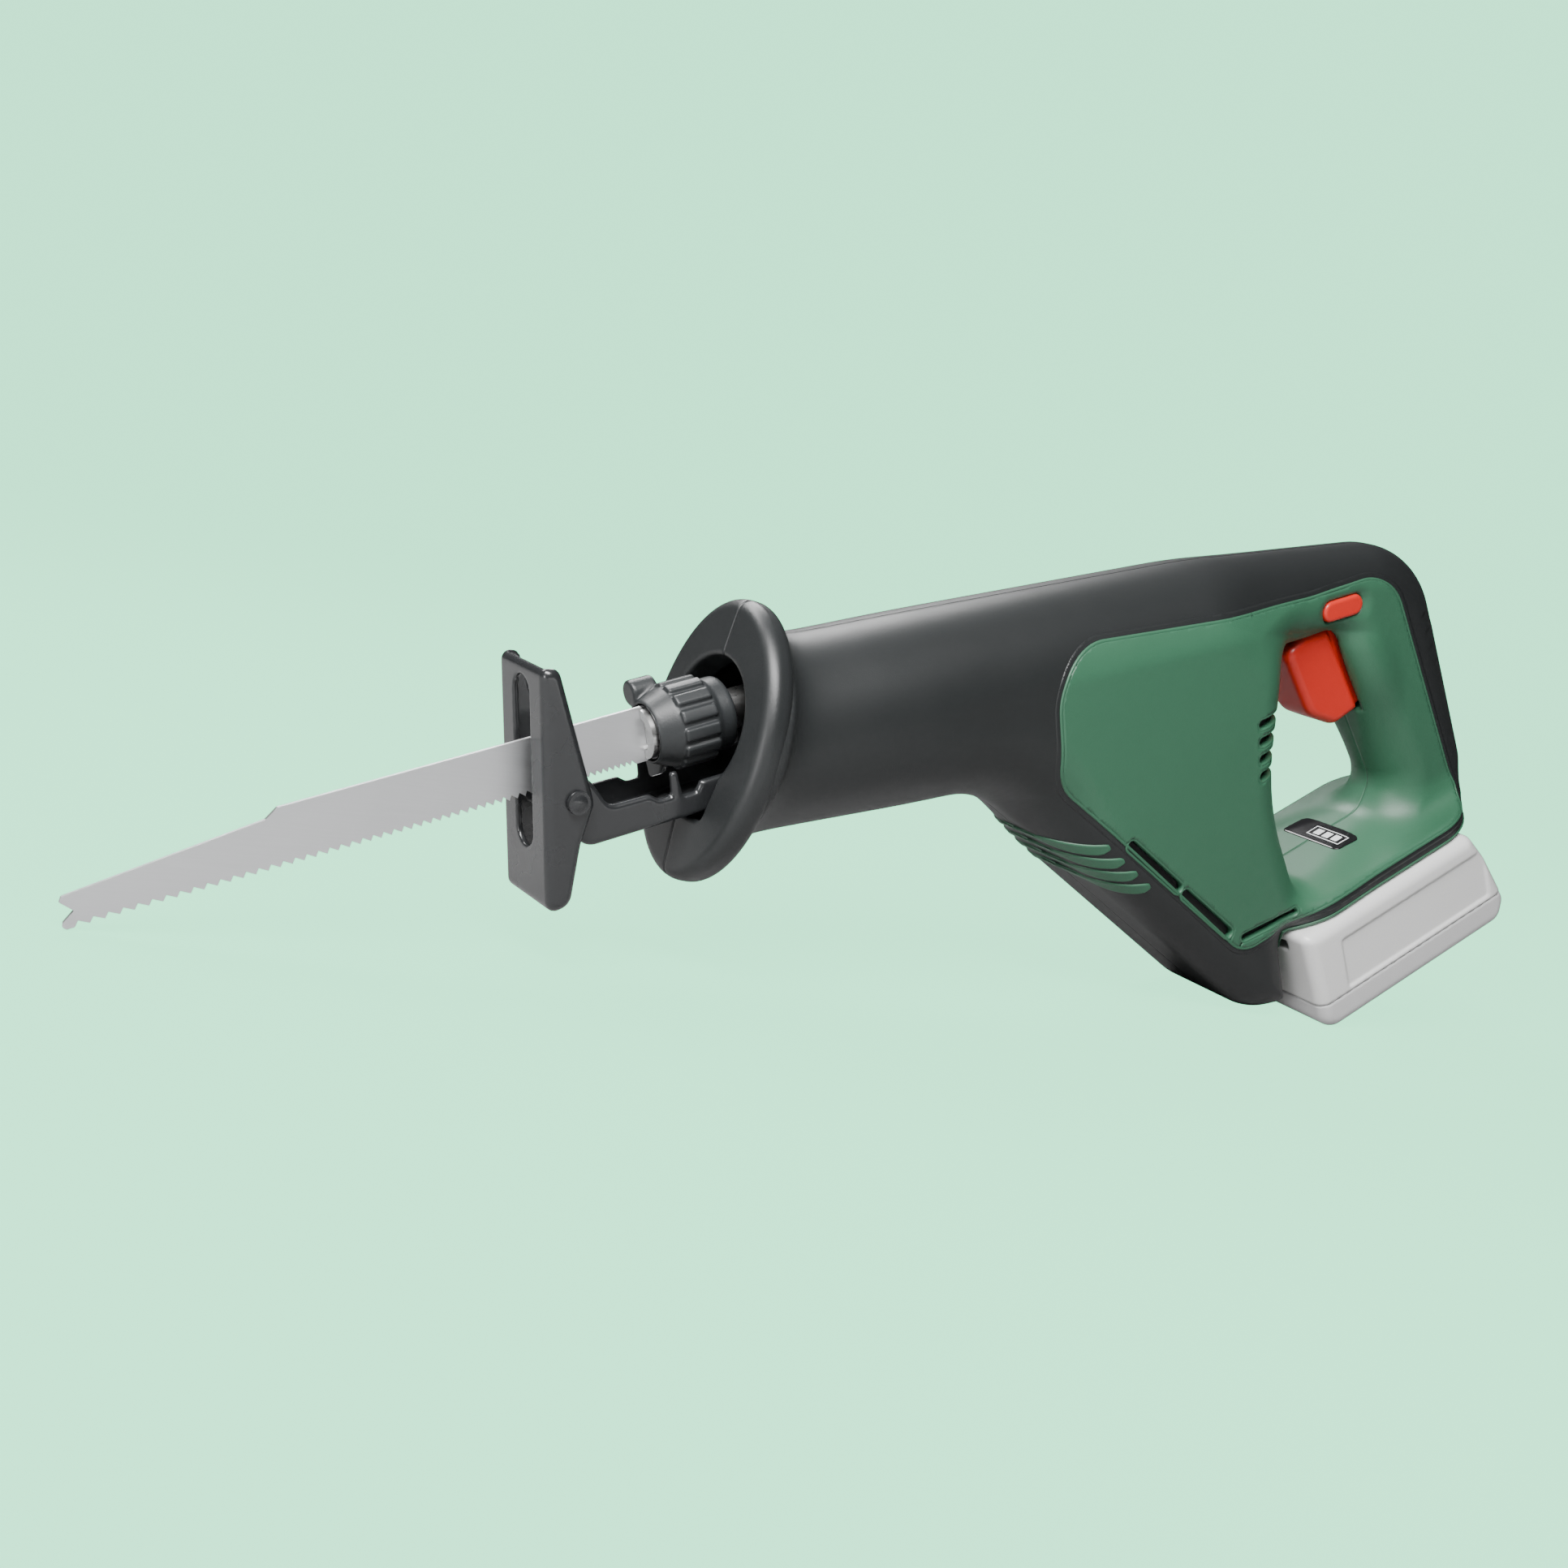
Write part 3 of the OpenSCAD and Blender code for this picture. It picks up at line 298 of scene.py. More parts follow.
def cut_patch(field, points, faces, keep, lift=0.0):
    """The part of a surface where keep(x, z) < 0, with its edge moved onto keep = 0, then lifted off by lift."""
    value = keep(points[:, 0], points[:, 2])
    near = (np.abs(value[faces]) < 4).any(axis=1)
    quads = [f for f in faces[~near] if value[f[0]] < 0]
    close = faces[near]
    tris = np.vstack([close[:, [0, 1, 2]], close[:, [0, 2, 3]]])
    snap = np.zeros(len(points), bool)
    for a, b in ((0, 1), (1, 2), (2, 0)):
        i, j = tris[:, a], tris[:, b]
        crossing = value[i] * value[j] < 0
        first = np.abs(value[i]) < np.abs(value[j])
        snap[i[crossing & first]] = True
        snap[j[crossing & ~first]] = True
    p = points.copy()
    h, least_slope, most_shift = 0.05, 0.12, 1.5
    for _ in range(3):
        x, z = p[snap, 0], p[snap, 2]
        now = keep(x, z)
        gx = (keep(x + h, z) - keep(x - h, z)) / (2 * h)
        gz = (keep(x, z + h) - keep(x, z - h)) / (2 * h)
        size = np.maximum(gx**2 + gz**2, 0.2)
        p[snap, 0] -= now * gx / size
        p[snap, 2] -= now * gz / size
        q = p[snap]
        slope = (field(q[:, 0], q[:, 1] + h, q[:, 2]) - field(q[:, 0], q[:, 1] - h, q[:, 2])) / (2 * h)
        steep = np.abs(slope) > least_slope
        shift = np.where(steep, field(*q.T) / np.where(steep, slope, 1), 0)
        p[snap, 1] -= np.clip(shift, -most_shift, most_shift) * (np.abs(q[:, 1]) > 0.3)
    value = np.where(snap, 0, value)
    kept = [f for f in tris if value[f].min() < 0 and value[f].max() <= 0]
    p, polys = used_only(p, quads + kept)
    if lift:
        g = gradient(field, p)
        seam = np.abs(p[:, 1]) < 1e-6
        g[seam, 1] = 0
        p = p + lift * g / np.linalg.norm(g, axis=1)[:, None]
    return p, polys


def flank(field, x, z, far=44.0):
    """Points of the surface on the +Y side at the given x and z, and the outward directions there."""
    y = np.full(len(x), far)
    for _ in range(90):
        d = field(x, y, z)
        y = y - np.where(d > 0.01, np.minimum(d * 0.9, 1.2), 0)
    p = np.stack([x, np.maximum(y, 0.0), z], axis=1)
    g = gradient(field, p)
    return p, g / np.linalg.norm(g, axis=1)[:, None]


def ribbon(field, line, rows, step=1.0):
    """A strip along a closed line on the flank. rows are (distance inside the line, height over the surface)."""
    line = walk(line, step)
    ahead = np.roll(line, -1, axis=0) - np.roll(line, 1, axis=0)
    ahead /= np.hypot(*ahead.T)[:, None]
    inward = np.stack([ahead[:, 1], -ahead[:, 0]], axis=1)
    x, z = line.T
    area = 0.5 * np.sum(x * np.roll(z, -1) - np.roll(x, -1) * z)
    if area > 0:
        inward = -inward
    points = []
    for distance, height in rows:
        at = line + inward * distance
        p, g = flank(field, at[:, 0], at[:, 1])
        points.append(p + g * height)
    n, m = len(line), len(rows)
    ways = 1 if area < 0 else -1
    faces = [[r * n + i, r * n + (i + 1) % n, (r + 1) * n + (i + 1) % n, (r + 1) * n + i][::ways]
             for r in range(m - 1) for i in range(n)]
    return np.vstack(points), faces


def inlay(field, line, height, edge=0.5, cell=1.6, drop=1.0):
    """A filled patch on the flank inside a closed line, at a height, with an edge that turns down."""
    line = walk(line, 1.0)
    inner = [tuple(p) for p in line]
    low, high = line.min(axis=0), line.max(axis=0)
    xs, zs = np.arange(low[0], high[0], cell), np.arange(low[1], high[1], cell)
    gx, gz = [a.ravel() for a in np.meshgrid(xs, zs)]
    deep = line_distance(line, gx, gz) < -edge - 0.8
    shrunk = shrink(line, edge)
    outline = [Vector(p) for p in shrunk]
    inside = [Vector((a, b)) for a, b in zip(gx[deep], gz[deep])]
    n = len(outline)
    verts, _, tris, *_ = delaunay_2d_cdt(outline + inside, [], [list(range(n))], 1, 1e-5)
    flat = np.array([tuple(v) for v in verts])
    p, g = flank(field, flat[:, 0], flat[:, 1])
    tris = [list(t)[::-1] for t in tris]
    rim, rim_faces = ribbon_between(field, np.array(inner), shrunk, height, drop)
    return join((p + g * height, tris), (rim, rim_faces))


def shrink(line, distance):
    """A closed line moved inwards."""
    ahead = np.roll(line, -1, axis=0) - np.roll(line, 1, axis=0)
    ahead /= np.maximum(np.hypot(*ahead.T), 1e-9)[:, None]
    x, z = line.T
    area = 0.5 * np.sum(x * np.roll(z, -1) - np.roll(x, -1) * z)
    inward = np.stack([ahead[:, 1], -ahead[:, 0]], axis=1) * (-1 if area > 0 else 1)
    return line + inward * distance


def ribbon_between(field, outer, inner, height, drop):
    """The edge of an inlay, from its top at the inner line down below the outer one."""
    n = len(outer)
    rows = []
    bend = abs(height)
    for along, level in ((1, height), (0.35, height - 0.25 * bend), (0, height - 0.6 * bend), (0, height - drop)):
        at = outer + (inner - outer) * along
        p, g = flank(field, at[:, 0], at[:, 1])
        rows.append(p + g * level)
    faces = [[r * n + i, (r + 1) * n + i, (r + 1) * n + (i + 1) % n, r * n + (i + 1) % n]
             for r in range(3) for i in range(n)]
    x, z = outer.T
    if 0.5 * np.sum(x * np.roll(z, -1) - np.roll(x, -1) * z) < 0:
        faces = [f[::-1] for f in faces]
    return np.vstack(rows), faces


def join(*parts):
    points, faces, base = [], [], 0
    for p, f in parts:
        points.append(p)
        faces.extend([[base + i for i in face] for face in f])
        base += len(p)
    return np.vstack(points), faces


def mirrored(points, faces):
    return points * np.array([1, -1, 1]), [list(f)[::-1] for f in faces]


def sided(side, part):
    """A part made for the +Y side, on the side that is asked for."""
    return part if side > 0 else mirrored(*part)


# ---- Pieces ----
def piece(name, part, body, material, replaces=(), thickness=0.0, flat=False):
    """Makes an object of (points, faces), in the tool's millimetres, and gives it to a body of the frame."""
    points, faces = part
    mesh = bpy.data.meshes.new(name)
    mesh.from_pydata(in_frame(points).tolist(), [], [list(map(int, f)) for f in faces])
    mesh.validate()
    mesh.materials.append(material)
    for polygon in mesh.polygons:
        polygon.use_smooth = not flat
    obj = bpy.data.objects.new(name, mesh)
    bpy.context.collection.objects.link(obj)
    if thickness:
        solid = obj.modifiers.new("thickness", "SOLIDIFY")
        solid.thickness = thickness * MM
        solid.offset = -1
        solid.use_quality_normals = False
    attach(obj, body)
    if replaces:
        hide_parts(*replaces)
    return obj


def step_size(fine):
    """The mesh step in millimetres: the fine step times 1."""
    return fine * 1.0


# ---- Places along the tool, as the frame has them ----
BARREL = (90.0, -12.6, 5.3)
BARREL_R = 31.5
GUARD = (50.5, -6.0, 26.0)
PACK = (277.0, -139.0, 10.5)
GRIP = (318.0, -36.0, 24.0)
SHOE_LEAN = 7.3
CLAMP_X = 32.0
GUARD_THICK = 12.0
# The lock-off button's middle, and half the run between its round ends
LOCK = (317, -22)
LOCK_HALF = 6
PACK_LENGTH, PACK_HEIGHT, PACK_HALF = 106.0, 46.0, 37.0
# The gauge's middle along the battery's rails
GAUGE_U = 47


def axis_z(x):
    """Height of the barrel's middle line."""
    return BARREL[1] - math.tan(math.radians(BARREL[2])) * (x - BARREL[0])


def crown(x):
    return axis_z(x) + BARREL_R / math.cos(math.radians(BARREL[2]))


def belly(x):
    return axis_z(x) - BARREL_R / math.cos(math.radians(BARREL[2]))


def on_pack(u, w, r=0):
    """A corner u along the battery's rails and w above them."""
    c, s = math.cos(math.radians(PACK[2])), math.sin(math.radians(PACK[2]))
    return (PACK[0] + u * c - w * s, PACK[1] + u * s + w * c, r)


def pack_axes(x, z):
    """How far a place is along the battery's rails and above them."""
    return turned(x, z, PACK[2], PACK[:2])


def capsule(a, b, width, cap=6):
    """A closed line round a straight slot."""
    a, b = np.array(a, float), np.array(b, float)
    t = math.atan2(*(b - a)[::-1])
    points = []
    for centre, start in ((b, t - math.pi / 2), (a, t + math.pi / 2)):
        for i in range(cap + 1):
            q = start + math.pi * i / cap
            points.append(centre + width / 2 * np.array([math.cos(q), math.sin(q)]))
    return np.array(points)


def leaf(start, end, width, sag=1.6, count=14):
    """A closed line round a crescent that is pointed at its start and round at its end."""
    a, b = np.array(start, float), np.array(end, float)
    along = (b - a) / np.hypot(*(b - a))
    aside = np.array([-along[1], along[0]])
    t = np.linspace(0, 1, count)
    middle = a + np.outer(t, b - a) - np.outer(sag * np.sin(math.pi * t), aside)
    half = width / 2 * (1 - (1 - t) ** 3) * np.sqrt(1 - np.maximum(0, (t - 0.86) / 0.14) ** 2)
    upper, lower = middle + half[:, None] * aside, middle - half[:, None] * aside
    return np.vstack([upper, lower[::-1][1:-1]])


# ---- The body's shape ----
class Body:
    """The outside of the body without its guard: barrel, motor bay with the chin, grip and foot in one skin."""

    growth = 0.028
    flare, flare_run = 4.5, 4.5
    deck = 7.2
    loft = (92.0, 158.0)
    hollow_r, hollow_depth = 25.5, 30.0
    low_corner, more_corner = 15, 14

    def __init__(self):
        sizes = bpy.context.scene.saw_sizes
        self.bay_half, self.grip_half, self.foot_half = [
            width / 2 for width in (sizes.body_width, sizes.grip_width, sizes.foot_width)]
        chin = (259.5, -169, 34)
        self.shell = Outline([(60, crown(60), 0), (146, 15.2, 60), (255, 7.2, 260), (364, -7.6, 38),
                              (391, -104, 40),
                              on_pack(110, 0, 5), on_pack(-1, 0, 2), on_pack(-3, -33, 5), chin,
                              (152.5, -50.6, 46), (60, belly(60), 0)])
        self.opening = Outline([(281, -30.5, 14), (318.6, -33.5, 9), (348.5, -103, 12), on_pack(68, 8.6, 9),
                                on_pack(11, 8, 9), (272, -82, 90)])
        self.wide = Outline([(60, 60, 0), (258, 60, 0), (268, -8, 30), (290, -27, 20), (330, -50, 20),
                             (320, -132, 10), (300, -200, 0), (60, -200, 0)])

    def blend(self, x, z):
        """1 over the motor bay and 0 over the grip."""
        return smooth_step(0.5 - self.wide(x, z) / 46.0)

    def __call__(self, x, y, z):
        y = np.abs(y)
        u, w = turned(x, z, -BARREL[2], BARREL[:2])
        g = turned(x, z, -GUARD[2], GUARD[:2])[0]
        flare = self.flare * np.exp(-np.maximum(g - GUARD_THICK, 0) / self.flare_run)
        barrel = np.maximum(np.hypot(y, w) - BARREL_R - self.growth * u - flare, GUARD_THICK - 5.0 - g)
        bay = self.blend(x, z)
        half = self.grip_half + (self.bay_half - self.grip_half) * bay
        crowned = smooth_step((z + 42) / 34)
        throat = smooth_step((212 - x) / 44) * smooth_step((z + 100) / 48)
        corner = np.minimum(self.low_corner + self.more_corner * np.maximum(crowned, throat), half - 1.6)
        side = smooth_max(self.shell(x, z), -self.opening(x, z), 1.0)
        solid = rounded_pair(side, y - half, corner)
        pu, pw = pack_axes(x, z)
        foot = rounded_pair(rounded_pair(pu - PACK_LENGTH, y - self.foot_half, 26), -pu, 20)
        foot = rounded_pair(foot, np.maximum(-pw, pw - self.deck), 2.4)
        part = smooth_step((x - self.loft[0]) / (self.loft[1] - self.loft[0]))
        whole = smooth_min(barrel * (1 - part) + solid * part, foot, 13.0)
        whole = smooth_max(whole, np.minimum(-pw, pu + 1.0), 0.6)
        hollow = rounded_pair(np.hypot(y, w) - self.hollow_r, g - self.hollow_depth, 3.0)
        a, b = turned(x, z, GRIP[2], GRIP[:2])
        window = block_field(a, y, b, (-26, -20, -36.2), (13, 10.0, 10.0), 1.0)
        side_x, side_z = np.abs(x - LOCK[0]), z - LOCK[1]
        pocket = rounded_pair(np.hypot(np.maximum(side_x - LOCK_HALF, 0), side_z) - 4.5, 9.0 - y, 0.4)
        from_dish = np.maximum(np.abs(x - LOCK[0] - 1) - LOCK_HALF - 1, 0)
        dish = np.sqrt(from_dish**2 + side_z**2 + ((y - 23.5) * 1.1) ** 2) - 9.0
        whole = smooth_max(smooth_max(whole, -hollow, 1.5), -dish, 1.5)
        return smooth_max(smooth_max(whole, -window, 0.8), -pocket, 0.6)


PANEL_CORNERS = [(171, 0, 34), (300, -13, 60), (343, -12.5, 22), (378, -110, 15), on_pack(99, 5.2, 10),
                 on_pack(9, 5.2, 8), (250, -139, 14), (171, -50, 22)]
SLOTS = [capsule((200.0, -79.5), (220.3, -101.8), 4.0), capsule((223.8, -105.6), (243.6, -127.2), 4.0),
         capsule((251.5, -131.6), (277.0, -129.4), 3.0)]
SIDE_VENTS = [capsule((262.5, z), (279.5, z + 0.6), 3.5) for z in (-50.5, -57.2, -63.9, -70.6)]
RIBS = [leaf((171.5 + 5.9 * i, -72.4 - 6.6 * i), (192.0 + 5.6 * i, -78.6 - 6.6 * i), 4.4) for i in range(4)]
# The skin stops this far outside the panel's outline, and the panel's flat this far inside it
VERGE = 1.3


def build_housing(materials):
    body = Body()
    panel = Outline(PANEL_CORNERS)
    sizes = bpy.context.scene.saw_sizes
    lift, gap = sizes.panel_lift, sizes.panel_gap
    grid = step_size(sizes.mesh_step)
    points, faces = surface(body, (34, 0, -184), (398, 40, 26), grid, half=True)
    slots = SLOTS + SIDE_VENTS

    def inside_panel(x, z):
        keep = panel(x, z) + VERGE
        for line in slots:
            keep = np.maximum(keep, 0.7 - line_distance(line, x, z))
        return keep

    green = cut_patch(body, points, faces, inside_panel, lift)
    black = cut_patch(body, points, faces, lambda x, z: -VERGE - panel(x, z))
    lip = ribbon(body, panel.points, [(gap, -VERGE), (gap, 0.0), (gap + 0.12, lift * 0.62), (gap + 0.4, lift * 0.95),
                                      (1.5, lift)])
    verge = ribbon(body, panel.points, [(-1.5, 0.0), (-0.5, 0.0), (-0.15, -0.12), (0.0, -0.4), (0.0, -1.3)])
    frames, floors = [], []
    for line in slots:
        frames.append(ribbon(body, line, [(-0.85, lift), (-0.3, lift * 0.9), (0.0, 0.1), (0.05, -3.0)], 0.6))
        # Each slot gets a near-black floor 2.4 mm down: a dark sheet as painted shade for the shaded inside of the
        # slot.
        floors.append(inlay(body, line, -2.4, 0.1, drop=0.2))
    for side, word in ((-1, "left"), (1, "right")):
        piece("skin_" + word, sided(side, join(black, verge)), "body", materials["skin"],
              ["skin_" + word], thickness=1.2)
        piece("panel_" + word, sided(side, join(green, lip, *frames)), "body", materials["green"],
              ["housing_" + word], thickness=1.0)
        piece("slot_shade_sheet_" + word, sided(side, join(*floors)), "body", materials["slot_shade_paint"])
        piece("ribs_" + word, sided(side, join(*[inlay(body, line, sizes.rib_height, 0.5) for line in RIBS])), "body",
              materials["green"])


def build_foot_plate(materials):
    """The hard shell's edge that shows under the skin along the foot and down the chin's back."""
    body = Body()

    def field(x, y, z):
        u, w = pack_axes(x, z)
        flange = np.maximum(np.maximum(-0.3 - w, w - 1.5), -2.6 - u)
        cheek = np.maximum(np.maximum(-2.6 - u, u + 0.9), np.maximum(w - 1.0, -30 - w))
        return rounded_pair(np.minimum(flange, cheek), body(x, y, z) - 0.6, 0.45)

    part = surface(field, (262, -37, -182), (394, 37, -112), step_size(0.6))
    piece("foot_plate", part, "body", materials["green"])


def build_guard(materials):
    a, b = 46.3, 35.4
    angles = np.radians(np.arange(0, 360, 3))
    rim = Outline([(b * math.cos(t), a * math.sin(t), 0) for t in angles])
    hole = [(22 * math.cos(t), 5 + 22 * math.sin(t), 0) for t in np.radians(np.arange(-37, 218, 4))]
    hole = Outline(hole + [(-13.6, -24.5, 3), (13.6, -24.5, 3)])

    def solid(x, y, z):
        g, h = turned(x, z, -GUARD[2], GUARD[:2])
        dome = 1.8 * ((y / b) ** 2 + (h / a) ** 2)
        thick = np.maximum(dome - g, g - GUARD_THICK)
        return rounded_pair(rounded_pair(rim(y, h), thick, 4.2), -hole(y, h), 1.6)

    for side, word in ((-1, "left"), (1, "right")):
        part = surface(lambda x, y, z: rounded_pair(solid(x, y, z), 0.1 - y, 0.5), (22, -1, -54), (84, 38, 46),
                       step_size(0.7))
        piece("guard_" + word, sided(side, part), "body", materials["guard"], ["guard_" + word])


def build_shoe(materials):
    reach, height, top, half, sheet = 10.5, 77.0, 42.0, 16.0, 2.0
    side = Outline([(-reach, top - height, 4), (-reach, top, 4), (-reach + 6, top, 4), (4.6, 6, 8), (6.4, -2, 5),
                    (1.5, -14, 10), (-reach + 8, top - height + 2, 5)])

    def field(x, y, z):
        u, w = turned(x, z, -SHOE_LEAN, (0, -PIVOT_DROP))
        outer = rounded_pair(side(u, w), np.abs(y) - half, 2.6)
        inner = rounded_pair(-reach + sheet - u, np.abs(y) - half + sheet, 1.0)
        bent = rounded_pair(outer, -inner, 0.5)
        slot = np.hypot(y, np.maximum(np.abs(w - PIVOT_DROP - 1.0) - 21.25, 0)) - 5.75
        hole = np.hypot(u, w) - 2.7
        return rounded_pair(rounded_pair(bent, -np.maximum(slot, u + reach - sheet - 1), 0.6), -hole, 0.3)

    part = surface(field, (-22, -17, -47), (12, 17, 35), step_size(0.55))
    piece("shoe_sheet", part, "shoe", materials["black_steel"], ["shoe"])

    def head(x, y, z):
        rho = np.hypot(x, z + PIVOT_DROP)
        dome = np.sqrt(rho**2 + (1.9 * (np.abs(y) - half - 0.1)) ** 2) - 3.9
        return np.maximum(np.maximum(dome, half + 0.05 - np.abs(y)), rho - 3.7)

    rivets = surface(head, (-5, -19, -15), (5, 19, -4), step_size(0.35))
    piece("rivet_heads", rivets, "body", materials["black_steel"])


def build_arm(materials):
    half, sheet, low = 12.5, 2.0, -26.4
    wall = Outline([(2, low, 6), (-4, -PIVOT_DROP - 4, 0), (-2, -PIVOT_DROP + 6.5, 0), (7, -5.6, 4), (12, -15.4, 4),
                    (26, -15.7, 0), (29, -18, 0), (33.4, -18, 0), (33.8, -10.6, 0.6), (36.4, -10.6, 0.6),
                    (37.4, -19, 1), (42, -19, 0), (44, -16, 0), (94.6, -16, 2), (94.6, low, 2)])

    def field(x, y, z):
        ear = np.hypot(x, z + PIVOT_DROP) - 7.5
        outline = smooth_min(wall(x, z), ear, 0.8)
        outer = rounded_pair(outline, np.abs(y) - half, 1.6)
        inner = rounded_pair(np.maximum(low + sheet - z, 6.0 - x), np.abs(y) - half + sheet, 0.8)
        front = rounded_pair(x - 6.0, np.abs(y) - half + sheet, 0.8)
        bent = rounded_pair(rounded_pair(outer, -inner, 0.3), -front, 0.3)
        return rounded_pair(bent, 2.6 - np.hypot(x, z + PIVOT_DROP), 0.3)

    part = surface(field, (-10, -14, -28), (97, 14, 0), step_size(0.55))
    piece("arm_sheet", part, "body", materials["black_steel"], ["support_arm"])


def build_collar(materials):
    length, ribs, bore = 28.0, 14, 9.3
    profile = Outline([(0.6, -20, 0), (0.6, 9.9, 1.4), (8, 12.9, 3), (21.4, 12.7, 1), (22.2, 11.9, 1),
                       (length, 11.9, 1.2), (length, -20, 0)])

    def field(x, y, z):
        r = np.hypot(y, z)
        t = np.arctan2(y, z)
        around = r * ((t / (2 * math.pi / ribs)) % 1 - 0.5) * (2 * math.pi / ribs)
        pad = block_field(x - CLAMP_X, around, r, (8.2, -2.15, 8), (20.8, 2.15, 14.0), 0.9)
        v, w = turned(y, z, -42, (0, 0))
        lug = np.hypot(v, w - 14.2) - 4.3
        lug = rounded_pair(lug, np.abs(x - CLAMP_X - 5.5) - 4.5, 1.2)
        shape = smooth_min(smooth_min(profile(x - CLAMP_X, r), pad, 0.5), lug, 1.6)
        return rounded_pair(shape, bore - r, 0.5)

    part = surface(field, (31, -20, -20), (62, 20, 20), step_size(0.42))
    piece("collar_grip", part, "collar", materials["collar"], ["clamp_collar"])


def build_controls(materials):
    trigger = Outline([(-21, 8.6, 5), (-9, 9.0, 6), (1.5, 4.5, 3), (1.5, -35.2, 1.6), (-12, -33.5, 6),
                       (-21, -22, 12)])

    def field(x, y, z):
        a, b = turned(x, z, GRIP[2], GRIP[:2])
        shape = rounded_pair(trigger(a, b), np.abs(y) - 9.4, 3.4)
        return smooth_min(shape, block_field(a, np.abs(y), b, (-3, -8, -33), (4.5, 8, 5), 0.5), 0.4)

    part = surface(field, (286, -11, -82), (336, 11, -24), step_size(0.5))
    piece("trigger_grip", part, "trigger", materials["red"], ["trigger"])

    def pill(x, y, z):
        flat = np.hypot(np.maximum(np.abs(x - LOCK[0]) - LOCK_HALF, 0), z - LOCK[1]) - 4.0
        return rounded_pair(flat, np.maximum(-17.6 - y, y - 14.4), 1.4)

    part = surface(pill, (305, -19, -28), (329, 17, -16), step_size(0.4))
    piece("lock_off_pill", part, "lock_off", materials["red"], ["lock_off_button"])


def build_gauge(materials):
    """A glossy film over the deck, with a row of charge bars."""
    body = Body()
    lift = bpy.context.scene.saw_sizes.panel_lift

    def film(x, y, z):
        u, w = pack_axes(x, z)
        plan = np.hypot(np.maximum(np.abs(u - GAUGE_U) - 4.0, 0), np.maximum(np.abs(y) - 12.5, 0)) - 2.5
        return rounded_pair(rounded_pair(plan, body(x, y, z) - lift - 0.35, 0.3), 5 - w, 0.3)

    def bars(x, y, z):
        u, w = pack_axes(x, z)
        cell = np.abs((y + 11.0) % 4.6 - 2.3) - 1.7
        inside = np.maximum(np.maximum(cell, np.abs(u - GAUGE_U) - 1.9), np.abs(y + 4.1) - 6.9)
        frame_line = np.abs(np.maximum(np.abs(u - GAUGE_U) - 3.0, np.abs(y + 4.1) - 8.2)) - 0.25
        shown = np.minimum(inside, frame_line)
        return np.maximum(np.maximum(shown, body(x, y, z) - lift - 0.46), 5 - w)

    box = (314, -16, -128), (334, 16, -112)
    piece("gauge_film", surface(film, *box, step_size(0.4)), "body", materials["gloss_black"],
          ["gauge_window"])
    piece("gauge_bars", surface(bars, *box, step_size(0.25)), "body", materials["pale_print"])


def build_pack(materials):
    end, low_w, split = PACK_LENGTH, -PACK_HEIGHT, -33.0
    whole = Outline([on_pack(0, -0.5, 3), on_pack(end - 15, -0.5, 5), on_pack(end - 8, -14, 6),
                     on_pack(end, low_w + 9, 5), on_pack(end - 4, low_w, 8), on_pack(3, low_w, 8)])

    def solid(x, y, z):
        u, w = pack_axes(x, z)
        shape = rounded_pair(whole(x, z), np.abs(y) - PACK_HALF, 5.0)
        rail = block_field(u, y, w, (-20, -20.6, -9.6), (79.6, 20.6, 6), 0.4)
        groove = block_field(u, y, w, (-20, -24.6, -9.6), (79.6, 24.6, -5.4), 0.4)
        face = block_field(u, np.abs(y), w, (17, PACK_HALF - 0.9, -31), (96, PACK_HALF + 9, -9.5), 0.6)
        button = block_field(u, y, w, (end - 16.6, -13.5, -21), (end + 20, 13.5, -9), 0.8)
        shape = rounded_pair(shape, -np.minimum(rail, groove), 0.6)
        shape = rounded_pair(shape, -button, 0.5)
        return rounded_pair(shape, -face, 0.5)

    def lid(x, y, z):
        return rounded_pair(solid(x, y, z), split + 0.15 - pack_axes(x, z)[1], 0.5)

    def tray(x, y, z):
        return rounded_pair(solid(x, y, z) + 0.25, pack_axes(x, z)[1] - split + 0.15, 0.5)

    low, high = (270, -39, -190), (396, 39, -112)
    grid = step_size(0.9)
    piece("pack_upper", surface(lid, low, high, grid), "pack", materials["pack_pale"], ["pack_lid"])
    piece("pack_tray", surface(tray, low, high, grid), "pack", materials["pack_grey"], ["pack_case"])

    def button(x, y, z):
        u, w = pack_axes(x, z)
        plate = block_field(u, y, w, (end - 12.5, -12.8, -20.3), (end + 9, 12.8, -9.7), 0.9)
        return rounded_pair(plate, whole(x, z) + 0.4, 0.9)

    piece("pack_button", surface(button, low, high, step_size(0.6)), "pack_latch", materials["pack_grey"],
          ["pack_release"])


# ---- Node groups and finishes ----
def node_group(name, inputs, outputs):
    """An empty shader node group with its sockets, and its input and output nodes."""
    group = bpy.data.node_groups.new(name, "ShaderNodeTree")
    for label, kind, value in inputs:
        socket = group.interface.new_socket(label, in_out="INPUT", socket_type="NodeSocket" + kind)
        socket.default_value = value
    for label, kind in outputs:
        group.interface.new_socket(label, in_out="OUTPUT", socket_type="NodeSocket" + kind)
    return group, group.nodes.new("NodeGroupInput"), group.nodes.new("NodeGroupOutput")


def add(tree, kind, **settings):
    """A node with its settings and its input values; a key that starts with in_ is an input by number."""
    node = tree.nodes.new("ShaderNode" + kind)
    for key, value in settings.items():
        if key.startswith("in_"):
            node.inputs[int(key[3:])].default_value = value
        else:
            setattr(node, key, value)
    return node


def noise(tree, coordinates, scale, detail=3.0):
    node = add(tree, "TexNoise")
    node.inputs["Detail"].default_value = detail
    if hasattr(scale, "is_linked"):
        tree.links.new(scale, node.inputs["Scale"])
    else:
        node.inputs["Scale"].default_value = scale
    tree.links.new(coordinates, node.inputs["Vector"])
    return node.outputs[0]


